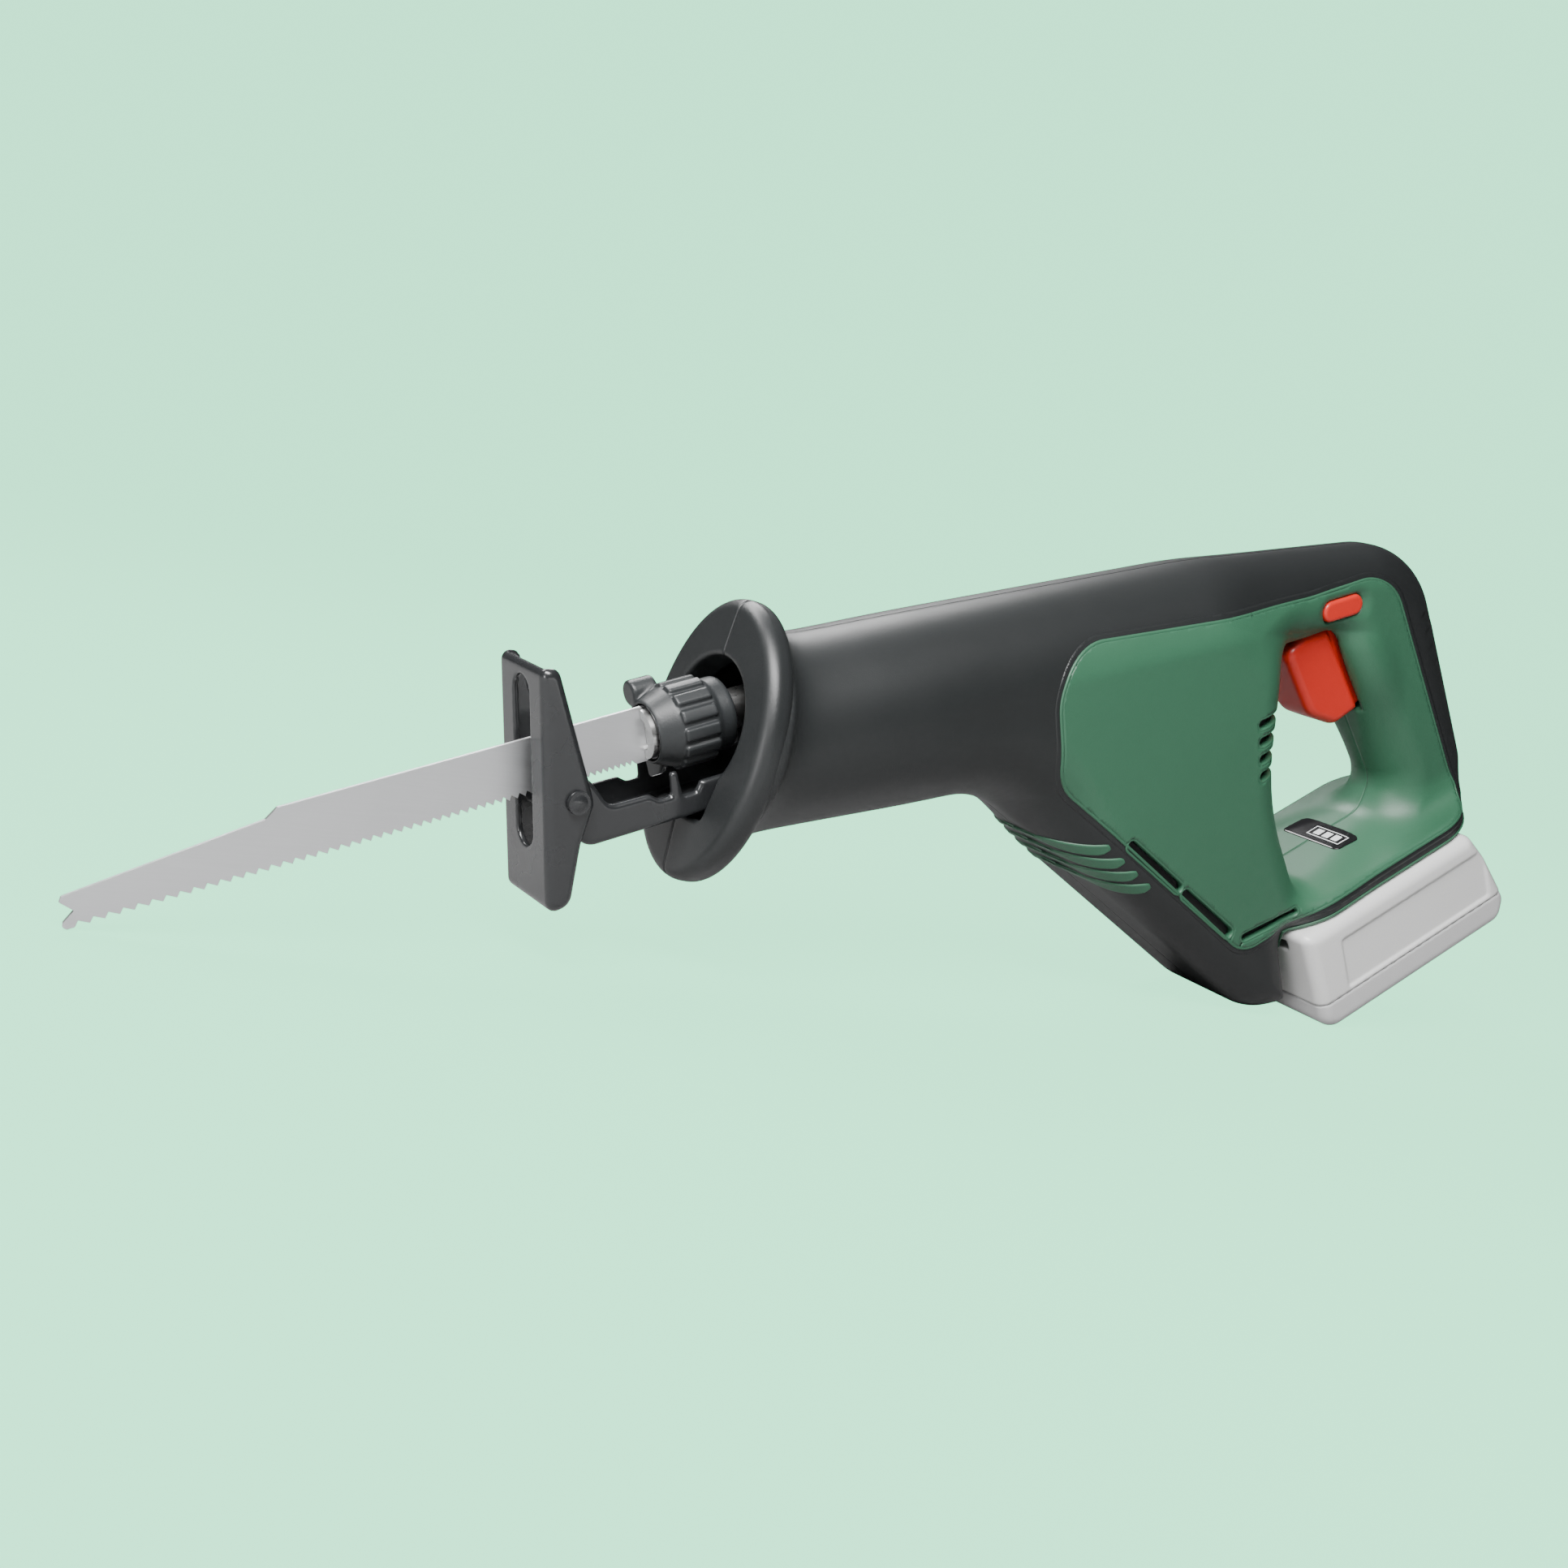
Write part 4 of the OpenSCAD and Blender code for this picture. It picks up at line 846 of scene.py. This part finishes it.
def maths(tree, operation, a, b, clamp=False):
    node = add(tree, "Math", operation=operation, use_clamp=clamp)
    for socket, value in zip(node.inputs, (a, b)):
        if hasattr(value, "is_linked"):
            tree.links.new(value, socket)
        else:
            socket.default_value = value
    return node.outputs[0]


def grain_group():
    """Moulded or coated surface: fine grain, a slow change of tone and of gloss."""
    if "surface_grain" in bpy.data.node_groups:
        return bpy.data.node_groups["surface_grain"]
    group, start, end = node_group(
        "surface_grain",
        [("Colour", "Color", (0.5, 0.5, 0.5, 1)), ("Tone", "Float", 0.1), ("Roughness", "Float", 0.5),
         ("Gloss change", "Float", 0.1), ("Grain scale", "Float", 1500.0)],
        [("Colour", "Color"), ("Roughness", "Float"), ("Height", "Float")])
    at = add(group, "TexCoord").outputs["Object"]
    slow = noise(group, at, 28.0)
    fine = noise(group, at, start.outputs["Grain scale"], 4.0)
    tone = maths(group, "MULTIPLY", maths(group, "SUBTRACT", slow, 0.5), start.outputs["Tone"])
    speck = maths(group, "MULTIPLY", maths(group, "SUBTRACT", fine, 0.5), 0.12)
    value = maths(group, "ADD", maths(group, "ADD", tone, speck), 1.0)
    tint = add(group, "VectorMath", operation="SCALE")
    group.links.new(start.outputs["Colour"], tint.inputs[0])
    group.links.new(value, tint.inputs["Scale"])
    group.links.new(tint.outputs[0], end.inputs["Colour"])
    change = maths(group, "MULTIPLY", maths(group, "SUBTRACT", noise(group, at, 60.0), 0.5),
                   start.outputs["Gloss change"])
    group.links.new(maths(group, "ADD", start.outputs["Roughness"], change), end.inputs["Roughness"])
    group.links.new(fine, end.inputs["Height"])
    return group


def brushed_group():
    """Ground steel: fine lines that run along the tool."""
    if "brushed_lines" in bpy.data.node_groups:
        return bpy.data.node_groups["brushed_lines"]
    group, start, end = node_group(
        "brushed_lines",
        [("Colour", "Color", (0.6, 0.6, 0.6, 1)), ("Tone", "Float", 0.15), ("Roughness", "Float", 0.3)],
        [("Colour", "Color"), ("Roughness", "Float"), ("Height", "Float")])
    at = add(group, "TexCoord").outputs["Object"]
    turn = add(group, "Mapping")
    slope = JOINTS["plunger_stroke"]["axis"]
    turn.inputs["Rotation"].default_value = (0, math.atan2(slope[2], slope[0]), 0)
    turn.inputs["Scale"].default_value = (40, 1500, 1500)
    group.links.new(at, turn.inputs["Vector"])
    lines = noise(group, turn.outputs[0], 1.0, 2.0)
    slow = noise(group, at, 35.0)
    tone = maths(group, "MULTIPLY", maths(group, "SUBTRACT", lines, 0.5), start.outputs["Tone"])
    cloud = maths(group, "MULTIPLY", maths(group, "SUBTRACT", slow, 0.5), 0.1)
    tint = add(group, "VectorMath", operation="SCALE")
    group.links.new(start.outputs["Colour"], tint.inputs[0])
    group.links.new(maths(group, "ADD", maths(group, "ADD", tone, cloud), 1.0), tint.inputs["Scale"])
    group.links.new(tint.outputs[0], end.inputs["Colour"])
    rough = maths(group, "ADD", maths(group, "MULTIPLY", lines, 0.16), start.outputs["Roughness"])
    group.links.new(rough, end.inputs["Roughness"])
    group.links.new(lines, end.inputs["Height"])
    return group


def dimple_group():
    """Rows of small round dimples over the back of the grip."""
    if "grip_dimples" in bpy.data.node_groups:
        return bpy.data.node_groups["grip_dimples"]
    group, start, end = node_group(
        "grip_dimples", [("Pitch", "Float", 0.0042), ("Behind", "Float", 0.0), ("Above", "Float", 0.0)],
        [("Dimple", "Float")])
    at = add(group, "TexCoord").outputs["Object"]
    turn = add(group, "Mapping", vector_type="POINT")
    axis = Vector(JOINTS["trigger_pull"]["axis"])
    turn.inputs["Rotation"].default_value = (0, math.atan2(axis.z, axis.x), 0)
    group.links.new(at, turn.inputs["Vector"])
    parts = add(group, "SeparateXYZ")
    group.links.new(turn.outputs[0], parts.inputs[0])
    across, down = parts.outputs["Y"], parts.outputs["Z"]
    row = maths(group, "DIVIDE", down, start.outputs["Pitch"])
    odd = maths(group, "MULTIPLY", maths(group, "MODULO", maths(group, "FLOOR", row, 0), 2.0), 0.5)
    column = maths(group, "ADD", maths(group, "DIVIDE", across, start.outputs["Pitch"]), odd)
    u = maths(group, "SUBTRACT", maths(group, "FRACT", column, 0), 0.5)
    v = maths(group, "SUBTRACT", maths(group, "FRACT", row, 0), 0.5)
    far = maths(group, "SQRT", maths(group, "ADD", maths(group, "MULTIPLY", u, u), maths(group, "MULTIPLY", v, v)), 0)
    dot = maths(group, "MULTIPLY", maths(group, "SUBTRACT", 0.24, far), 8.0, clamp=True)
    behind = maths(group, "MULTIPLY", maths(group, "SUBTRACT", parts.outputs["X"], start.outputs["Behind"]), 400.0,
                   clamp=True)
    below = maths(group, "MULTIPLY", maths(group, "SUBTRACT", start.outputs["Above"], down), 400.0, clamp=True)
    group.links.new(maths(group, "MULTIPLY", dot, maths(group, "MULTIPLY", behind, below)), end.inputs["Dimple"])
    return group


def shader(name, metallic=0.0, **constants):
    """A material with its Principled shader; constants are set on the shader's own sockets."""
    material = bpy.data.materials.new(name)
    material.use_nodes = True
    bsdf = material.node_tree.nodes["Principled BSDF"]
    bsdf.inputs["Metallic"].default_value = metallic
    for key, value in constants.items():
        bsdf.inputs[key.replace("_", " ")].default_value = value
    return material, material.node_tree, bsdf


def place(tree, group, **values):
    node = tree.nodes.new("ShaderNodeGroup")
    node.node_tree = group
    for key, value in values.items():
        node.inputs[key.replace("_", " ")].default_value = value
    return node


def wire(tree, node, bsdf, depth, distance=0.0002):
    """A group's colour, roughness and height into the shader."""
    tree.links.new(node.outputs["Colour"], bsdf.inputs["Base Color"])
    tree.links.new(node.outputs["Roughness"], bsdf.inputs["Roughness"])
    bump = add(tree, "Bump")
    bump.inputs["Strength"].default_value = depth
    bump.inputs["Distance"].default_value = distance
    tree.links.new(node.outputs["Height"], bump.inputs["Height"])
    tree.links.new(bump.outputs[0], bsdf.inputs["Normal"])
    return bump


def moulded(name, colour, roughness, depth=0.25, scale=1500.0, tone=0.1, gloss=0.1, **constants):
    material, tree, bsdf = shader(name, **constants)
    node = place(tree, grain_group(), Colour=(*colour, 1), Roughness=roughness, Tone=tone, Gloss_change=gloss,
                 Grain_scale=scale)
    wire(tree, node, bsdf, depth)
    return material


def steel(name, colour, roughness, tone=0.15, depth=0.1):
    material, tree, bsdf = shader(name, metallic=1.0)
    wire(tree, place(tree, brushed_group(), Colour=(*colour, 1), Roughness=roughness, Tone=tone), bsdf, depth, 0.0001)
    return material


# How far round the grip's back the dimples reach, in metres
DIMPLE_REACH = 0.015


def skin_finish(colours):
    """Soft black skin, with dimples over the back of the grip: the dimples are bumped, and their colour is darkened
    as painted shade in their hollows.
    """
    material, tree, bsdf = shader("soft_skin")
    node = place(tree, grain_group(), Colour=(*colours.skin, 1), Roughness=0.44, Tone=0.12, Gloss_change=0.08,
                 Grain_scale=2200.0)
    bump = wire(tree, node, bsdf, 0.18)
    axis = Vector(JOINTS["trigger_pull"]["axis"])
    up = axis.cross(Vector((0, 1, 0)))
    back = Vector(in_frame([(384.0, 0, -60.0)])[0])
    heel = Vector(in_frame([(372.0, 0, -26.0)])[0])
    pitch = bpy.context.scene.saw_sizes.dimple_pitch * MM
    dots = place(tree, dimple_group(), Behind=back.dot(axis) - DIMPLE_REACH, Above=heel.dot(up), Pitch=pitch)
    height = maths(tree, "SUBTRACT", node.outputs["Height"], maths(tree, "MULTIPLY", dots.outputs[0], 2.5))
    tree.links.new(height, bump.inputs["Height"])
    # Painted shade: inside each dimple the base colour is made up to 55 percent darker, as if its hollow lay in
    # shade.
    shade = add(tree, "VectorMath", operation="SCALE")
    tree.links.new(node.outputs["Colour"], shade.inputs[0])
    dimple_painted_shade = maths(tree, "MULTIPLY", dots.outputs[0], 0.55)
    tree.links.new(maths(tree, "SUBTRACT", 1.0, dimple_painted_shade), shade.inputs["Scale"])
    tree.links.new(shade.outputs[0], bsdf.inputs["Base Color"])
    return material


FINISHES = {
    "skin": skin_finish,
    "green": lambda c: moulded("fine_eroded_green", c.green, 0.46, 0.22, 1800.0, 0.08, 0.06),
    "guard": lambda c: moulded("guard_black", c.guard, 0.40, 0.2, 2000.0, 0.1, 0.08),
    # Near-black finish for the slot floors: painted shade standing in for the shaded inside of the slots.
    "slot_shade_paint": lambda c: moulded("painted_slot_shade", (0.006, 0.006, 0.006), 0.7, 0.1),
    "black_steel": lambda c: moulded("coated_sheet", (0.016, 0.017, 0.018), 0.26, 0.12, 900.0, 0.15, 0.14,
                                     Coat_Weight=0.3, Coat_Roughness=0.12),
    "collar": lambda c: moulded("collar_black", c.collar, 0.42, 0.25, 1700.0),
    "red": lambda c: moulded("moulded_red", c.red, 0.34, 0.12, 1600.0, 0.06, 0.06),
    "gloss_black": lambda c: moulded("gloss_film", (0.010, 0.010, 0.011), 0.12, 0.02, 600.0, 0.05, 0.03),
    "pale_print": lambda c: moulded("pale_print", (0.62, 0.64, 0.64), 0.5, 0.05),
    "pack_pale": lambda c: moulded("pack_pale", c.pack, 0.30, 0.1, 1500.0, 0.05, 0.08),
    "pack_grey": lambda c: moulded("pack_grey", c.pack_low, 0.34, 0.12, 1500.0, 0.05, 0.08),
    "blade": lambda c: steel("blade_steel", c.blade, 0.36, 0.10, 0.06),
    "bright": lambda c: steel("bright_steel", (0.62, 0.62, 0.61), 0.22),
    "dark": lambda c: steel("dark_steel", (0.10, 0.10, 0.105), 0.34),
    "alloy": lambda c: moulded("cast_alloy", (0.42, 0.43, 0.44), 0.45, 0.5, 700.0, 0.12, 0.1, metallic=1.0),
    "bronze": lambda c: steel("sintered_bronze", (0.42, 0.25, 0.10), 0.4),
    "copper": lambda c: steel("copper_winding", (0.50, 0.20, 0.08), 0.35),
    "black_plastic": lambda c: moulded("black_plastic", (0.022, 0.023, 0.024), 0.45),
    "fan_plastic": lambda c: moulded("natural_plastic", (0.56, 0.56, 0.50), 0.45),
    "board": lambda c: moulded("solder_mask", (0.015, 0.10, 0.04), 0.3, 0.1, 500.0),
    "cell": lambda c: moulded("cell_wrap", (0.05, 0.18, 0.36), 0.3, 0.05, 500.0),
    "magnet": lambda c: moulded("ferrite", (0.03, 0.03, 0.032), 0.6),
}
NODE_FINISHES = {
    "blade": ["blade"],
    "bright": ["holder_ring", "clamp_pin", "plunger_rod", "crank_axle", "crank_pin", "crank_roller", "rotor_shaft",
               "pinion", "front_bearing", "rear_bearing", "cell_straps", "motor_can"],
    "dark": ["blade_holder", "collar_spring", "crank_gear", "arm_screws"],
    "alloy": ["gear_case", "gear_case_cover"],
    "bronze": ["front_bush", "rear_bush", "tool_terminals", "pack_terminals"],
    "copper": ["armature", "commutator"],
    "black_plastic": ["shaft_seal", "motor_end_cap", "switch_module", "rail_block", "carbon_brushes"],
    "black_steel": ["shoe_rivets", "housing_screws"],
    "fan_plastic": ["fan"],
    "board": ["control_board", "pack_board"],
    "cell": ["pack_cells"],
    "magnet": ["motor_magnets"],
}


class Shelf(dict):
    """Finishes by name, each made when it is first asked for."""

    def __missing__(self, name):
        self[name] = FINISHES[name](bpy.context.scene.saw_colours)
        return self[name]


SHELF = Shelf()


def finish_frame(materials):
    """Gives every node that the frame still shows its own finish."""
    for name, nodes in NODE_FINISHES.items():
        for node in nodes:
            mesh = frame["nodes"][node].data
            mesh.materials.clear()
            mesh.materials.append(materials[name])


# ---- Stage ----
CAMERA_AT = (-224.9, -545.1, 202.4)
CAMERA_RIGHT = (0.8497, -0.5179, -0.0989)
CAMERA_UP = (0.2618, 0.2516, 0.9318)
FOCAL = 46.58
FLOOR_GLOW = 2.4
WORLD_STRENGTH = 0.20


def make_camera():
    data = bpy.data.cameras.new("camera")
    data.sensor_width = 36.0
    data.lens = FOCAL
    data.clip_start, data.clip_end = 0.01, 50.0
    camera = bpy.data.objects.new("camera", data)
    right, up = Vector(CAMERA_RIGHT).normalized(), Vector(CAMERA_UP)
    up = (up - right * up.dot(right)).normalized()
    turn = Matrix((right, up, right.cross(up))).transposed().to_4x4()
    camera.matrix_world = TOOL @ Matrix.Translation(Vector(CAMERA_AT) * MM) @ turn
    bpy.context.collection.objects.link(camera)
    bpy.context.scene.camera = camera


def floor_card(colour):
    """A pale card that is seen nearly evenly lit, and that throws back neutral light."""
    material, tree, bsdf = shader("floor_card", Roughness=1.0, Specular_IOR_Level=0.0)
    bsdf.inputs["Base Color"].default_value = (0.30, 0.30, 0.30, 1)
    seen = add(tree, "BsdfPrincipled")
    seen.inputs["Base Color"].default_value = (*[0.10 * c for c in colour], 1)
    seen.inputs["Roughness"].default_value = 1.0
    seen.inputs["Specular IOR Level"].default_value = 0.0
    seen.inputs["Emission Color"].default_value = (*colour, 1)
    seen.inputs["Emission Strength"].default_value = FLOOR_GLOW
    mix = add(tree, "MixShader")
    tree.links.new(add(tree, "LightPath").outputs["Is Camera Ray"], mix.inputs[0])
    tree.links.new(bsdf.outputs[0], mix.inputs[1])
    tree.links.new(seen.outputs[0], mix.inputs[2])
    tree.links.new(mix.outputs[0], tree.nodes["Material Output"].inputs["Surface"])
    return material


def make_floor(colour):
    """A round floor that curves up into a wall all round."""
    flat, rise, rings, sides = 1.6, 1.6, 14, 72
    profile = [(0.0, 0.0), (flat * 0.5, 0.0)]
    profile += [(flat + rise * math.sin(t), rise * (1 - math.cos(t)))
                for t in (math.pi / 2 * i / rings for i in range(rings + 1))]
    profile.append((flat + rise, rise + 2.5))
    points = [(0.0, 0.0, 0.0)]
    faces = []
    for i, (r, z) in enumerate(profile[1:]):
        points += [(r * math.cos(2 * math.pi * k / sides), r * math.sin(2 * math.pi * k / sides), z)
                   for k in range(sides)]
        for k in range(sides):
            a, b = k, (k + 1) % sides
            if i == 0:
                faces.append((0, 1 + a, 1 + b))
            else:
                base = 1 + (i - 1) * sides
                faces.append((base + a, base + sides + a, base + sides + b, base + b))
    mesh = bpy.data.meshes.new("floor")
    mesh.from_pydata(points, [], faces)
    for polygon in mesh.polygons:
        polygon.use_smooth = True
    floor = bpy.data.objects.new("floor", mesh)
    bpy.context.collection.objects.link(floor)
    mesh.materials.append(floor_card(colour))


LIGHTS = [
    # name, place, width and height in the tool's millimetres, watts
    ("key", (-60, -420, 760), 800, 260, 26.0),
    ("side", (-760, -460, 120), 300, 700, 9.0),
    ("back", (260, 560, 560), 900, 220, 12.0),
    ("low", (150, -760, -200), 700, 260, 2.0),
]


def make_lights():
    aim = Vector(in_frame([(150.0, 0.0, -20.0)])[0])
    for name, at, width, height, watts in LIGHTS:
        data = bpy.data.lights.new(name, "AREA")
        data.shape = "RECTANGLE"
        data.size, data.size_y = width * MM, height * MM
        data.energy = watts
        light = bpy.data.objects.new(name, data)
        light.location = Vector(in_frame([at])[0])
        light.rotation_mode = "QUATERNION"
        light.rotation_quaternion = (aim - light.location).to_track_quat("-Z", "Y")
        bpy.context.collection.objects.link(light)
    world = bpy.data.worlds.new("studio")
    bpy.context.scene.world = world
    world.use_nodes = True
    background = world.node_tree.nodes["Background"]
    background.inputs["Color"].default_value = (0.95, 0.98, 1.0, 1)
    background.inputs["Strength"].default_value = WORLD_STRENGTH


# ---- Settings ----
def colour_property(name, words, value):
    return bpy.props.FloatVectorProperty(name=name, description=words, default=value, size=3, subtype="COLOR",
                                         min=0.0, max=1.0)


class SawColours(bpy.types.PropertyGroup):
    """Colours of the finishes."""

    green: colour_property("Green", "Hard shell", (0.031, 0.108, 0.059))
    skin: colour_property("Skin", "Soft skin over the barrel and the grip", (0.012, 0.0135, 0.0138))
    guard: colour_property("Guard", "Hand guard", (0.014, 0.0155, 0.016))
    collar: colour_property("Collar", "Blade clamp's collar", (0.018, 0.020, 0.021))
    red: colour_property("Red", "Trigger and lock-off button", (0.56, 0.024, 0.014))
    blade: colour_property("Blade", "Blade", (0.70, 0.71, 0.72))
    pack: colour_property("Pack", "Battery's upper shell", (0.70, 0.70, 0.69))
    pack_low: colour_property("Pack tray", "Battery's lower shell", (0.56, 0.56, 0.56))
    floor: colour_property("Floor", "Floor and backdrop", (0.30, 1.0, 0.58))


def size_property(name, words, value, low, high):
    return bpy.props.FloatProperty(name=name, description=words, default=value, min=low, max=high)


class SawSizes(bpy.types.PropertyGroup):
    """Sizes that the looks add to the frame, in millimetres."""

    mesh_step: size_property("Mesh step", "Size of the body's mesh cells", 1.0, 0.6, 3.0)
    body_width: size_property("Body width", "Width of the body round the motor", 61.0, 58.0, 64.0)
    grip_width: size_property("Grip width", "Width of the grip", 34.0, 30.0, 38.0)
    foot_width: size_property("Foot width", "Width of the foot over the battery", 67.2, 62.0, 72.0)
    panel_lift: size_property("Panel lift", "Height of the bare panel over the skin", 0.45, 0.1, 1.0)
    panel_gap: size_property("Panel gap", "Gap between the bare panel and the skin", 0.4, 0.2, 0.8)
    rib_height: size_property("Rib height", "Height of the four ribs over the skin", 0.55, 0.2, 1.0)
    dimple_pitch: size_property("Dimple pitch", "Spacing of the dimples behind the grip", 3.6, 2.5, 6.0)


# ---- Operators ----
class SAW_OT_stage(bpy.types.Operator):
    """Makes the camera, the floor and the lights"""

    bl_idname = "saw.stage"
    bl_label = "Stage"

    def execute(self, context):
        make_camera()
        make_floor(context.scene.saw_colours.floor)
        make_lights()
        return {"FINISHED"}


class SAW_OT_frame(bpy.types.Operator):
    """Gives the frame's own nodes their finishes"""

    bl_idname = "saw.frame"
    bl_label = "Frame"

    def execute(self, context):
        finish_frame(SHELF)
        return {"FINISHED"}


class SAW_OT_housing(bpy.types.Operator):
    """Makes the skins, the bare panels and their slots"""

    bl_idname = "saw.housing"
    bl_label = "Housing"

    def execute(self, context):
        build_housing(SHELF)
        return {"FINISHED"}


class SAW_OT_foot(bpy.types.Operator):
    """Makes the shell's edge along the foot and the chin"""

    bl_idname = "saw.foot"
    bl_label = "Foot"

    def execute(self, context):
        build_foot_plate(SHELF)
        return {"FINISHED"}


class SAW_OT_guard(bpy.types.Operator):
    """Makes the two halves of the hand guard"""

    bl_idname = "saw.guard"
    bl_label = "Guard"

    def execute(self, context):
        build_guard(SHELF)
        return {"FINISHED"}


class SAW_OT_shoe(bpy.types.Operator):
    """Makes the bent shoe and its rivet heads"""

    bl_idname = "saw.shoe"
    bl_label = "Shoe"

    def execute(self, context):
        build_shoe(SHELF)
        return {"FINISHED"}


class SAW_OT_arm(bpy.types.Operator):
    """Makes the shoe's support arm"""

    bl_idname = "saw.arm"
    bl_label = "Arm"

    def execute(self, context):
        build_arm(SHELF)
        return {"FINISHED"}


class SAW_OT_collar(bpy.types.Operator):
    """Makes the blade clamp's collar"""

    bl_idname = "saw.collar"
    bl_label = "Collar"

    def execute(self, context):
        build_collar(SHELF)
        return {"FINISHED"}


class SAW_OT_controls(bpy.types.Operator):
    """Makes the trigger and the lock-off button"""

    bl_idname = "saw.controls"
    bl_label = "Controls"

    def execute(self, context):
        build_controls(SHELF)
        return {"FINISHED"}


class SAW_OT_gauge(bpy.types.Operator):
    """Makes the charge gauge"""

    bl_idname = "saw.gauge"
    bl_label = "Gauge"

    def execute(self, context):
        build_gauge(SHELF)
        return {"FINISHED"}


class SAW_OT_battery(bpy.types.Operator):
    """Makes the battery's shells and its release button"""

    bl_idname = "saw.battery"
    bl_label = "Battery"

    def execute(self, context):
        build_pack(SHELF)
        return {"FINISHED"}


OPERATORS = [SAW_OT_stage, SAW_OT_frame, SAW_OT_housing, SAW_OT_foot, SAW_OT_guard, SAW_OT_shoe, SAW_OT_arm,
             SAW_OT_collar, SAW_OT_controls, SAW_OT_gauge, SAW_OT_battery]


class SAW_PT_sidebar(bpy.types.Panel):
    """Lists the saw's sizes, colours and pieces."""

    bl_idname = "SAW_PT_sidebar"
    bl_label = "Saw"
    bl_space_type = "VIEW_3D"
    bl_region_type = "UI"
    bl_category = "Saw"

    def draw(self, context):
        for group in (context.scene.saw_sizes, context.scene.saw_colours):
            for key in group.__annotations__:
                self.layout.prop(group, key)
        for made in OPERATORS:
            self.layout.operator(made.bl_idname)


CLASSES = [SawColours, SawSizes, *OPERATORS, SAW_PT_sidebar]


def register():
    for made in CLASSES:
        bpy.utils.register_class(made)
    bpy.types.Scene.saw_colours = bpy.props.PointerProperty(type=SawColours)
    bpy.types.Scene.saw_sizes = bpy.props.PointerProperty(type=SawSizes)


def unregister():
    del bpy.types.Scene.saw_colours
    del bpy.types.Scene.saw_sizes
    for made in reversed(CLASSES):
        bpy.utils.unregister_class(made)


def main():
    register()
    for made in OPERATORS:
        getattr(bpy.ops.saw, made.bl_idname.split(".")[1])()


if __name__ == "__main__":
    main()
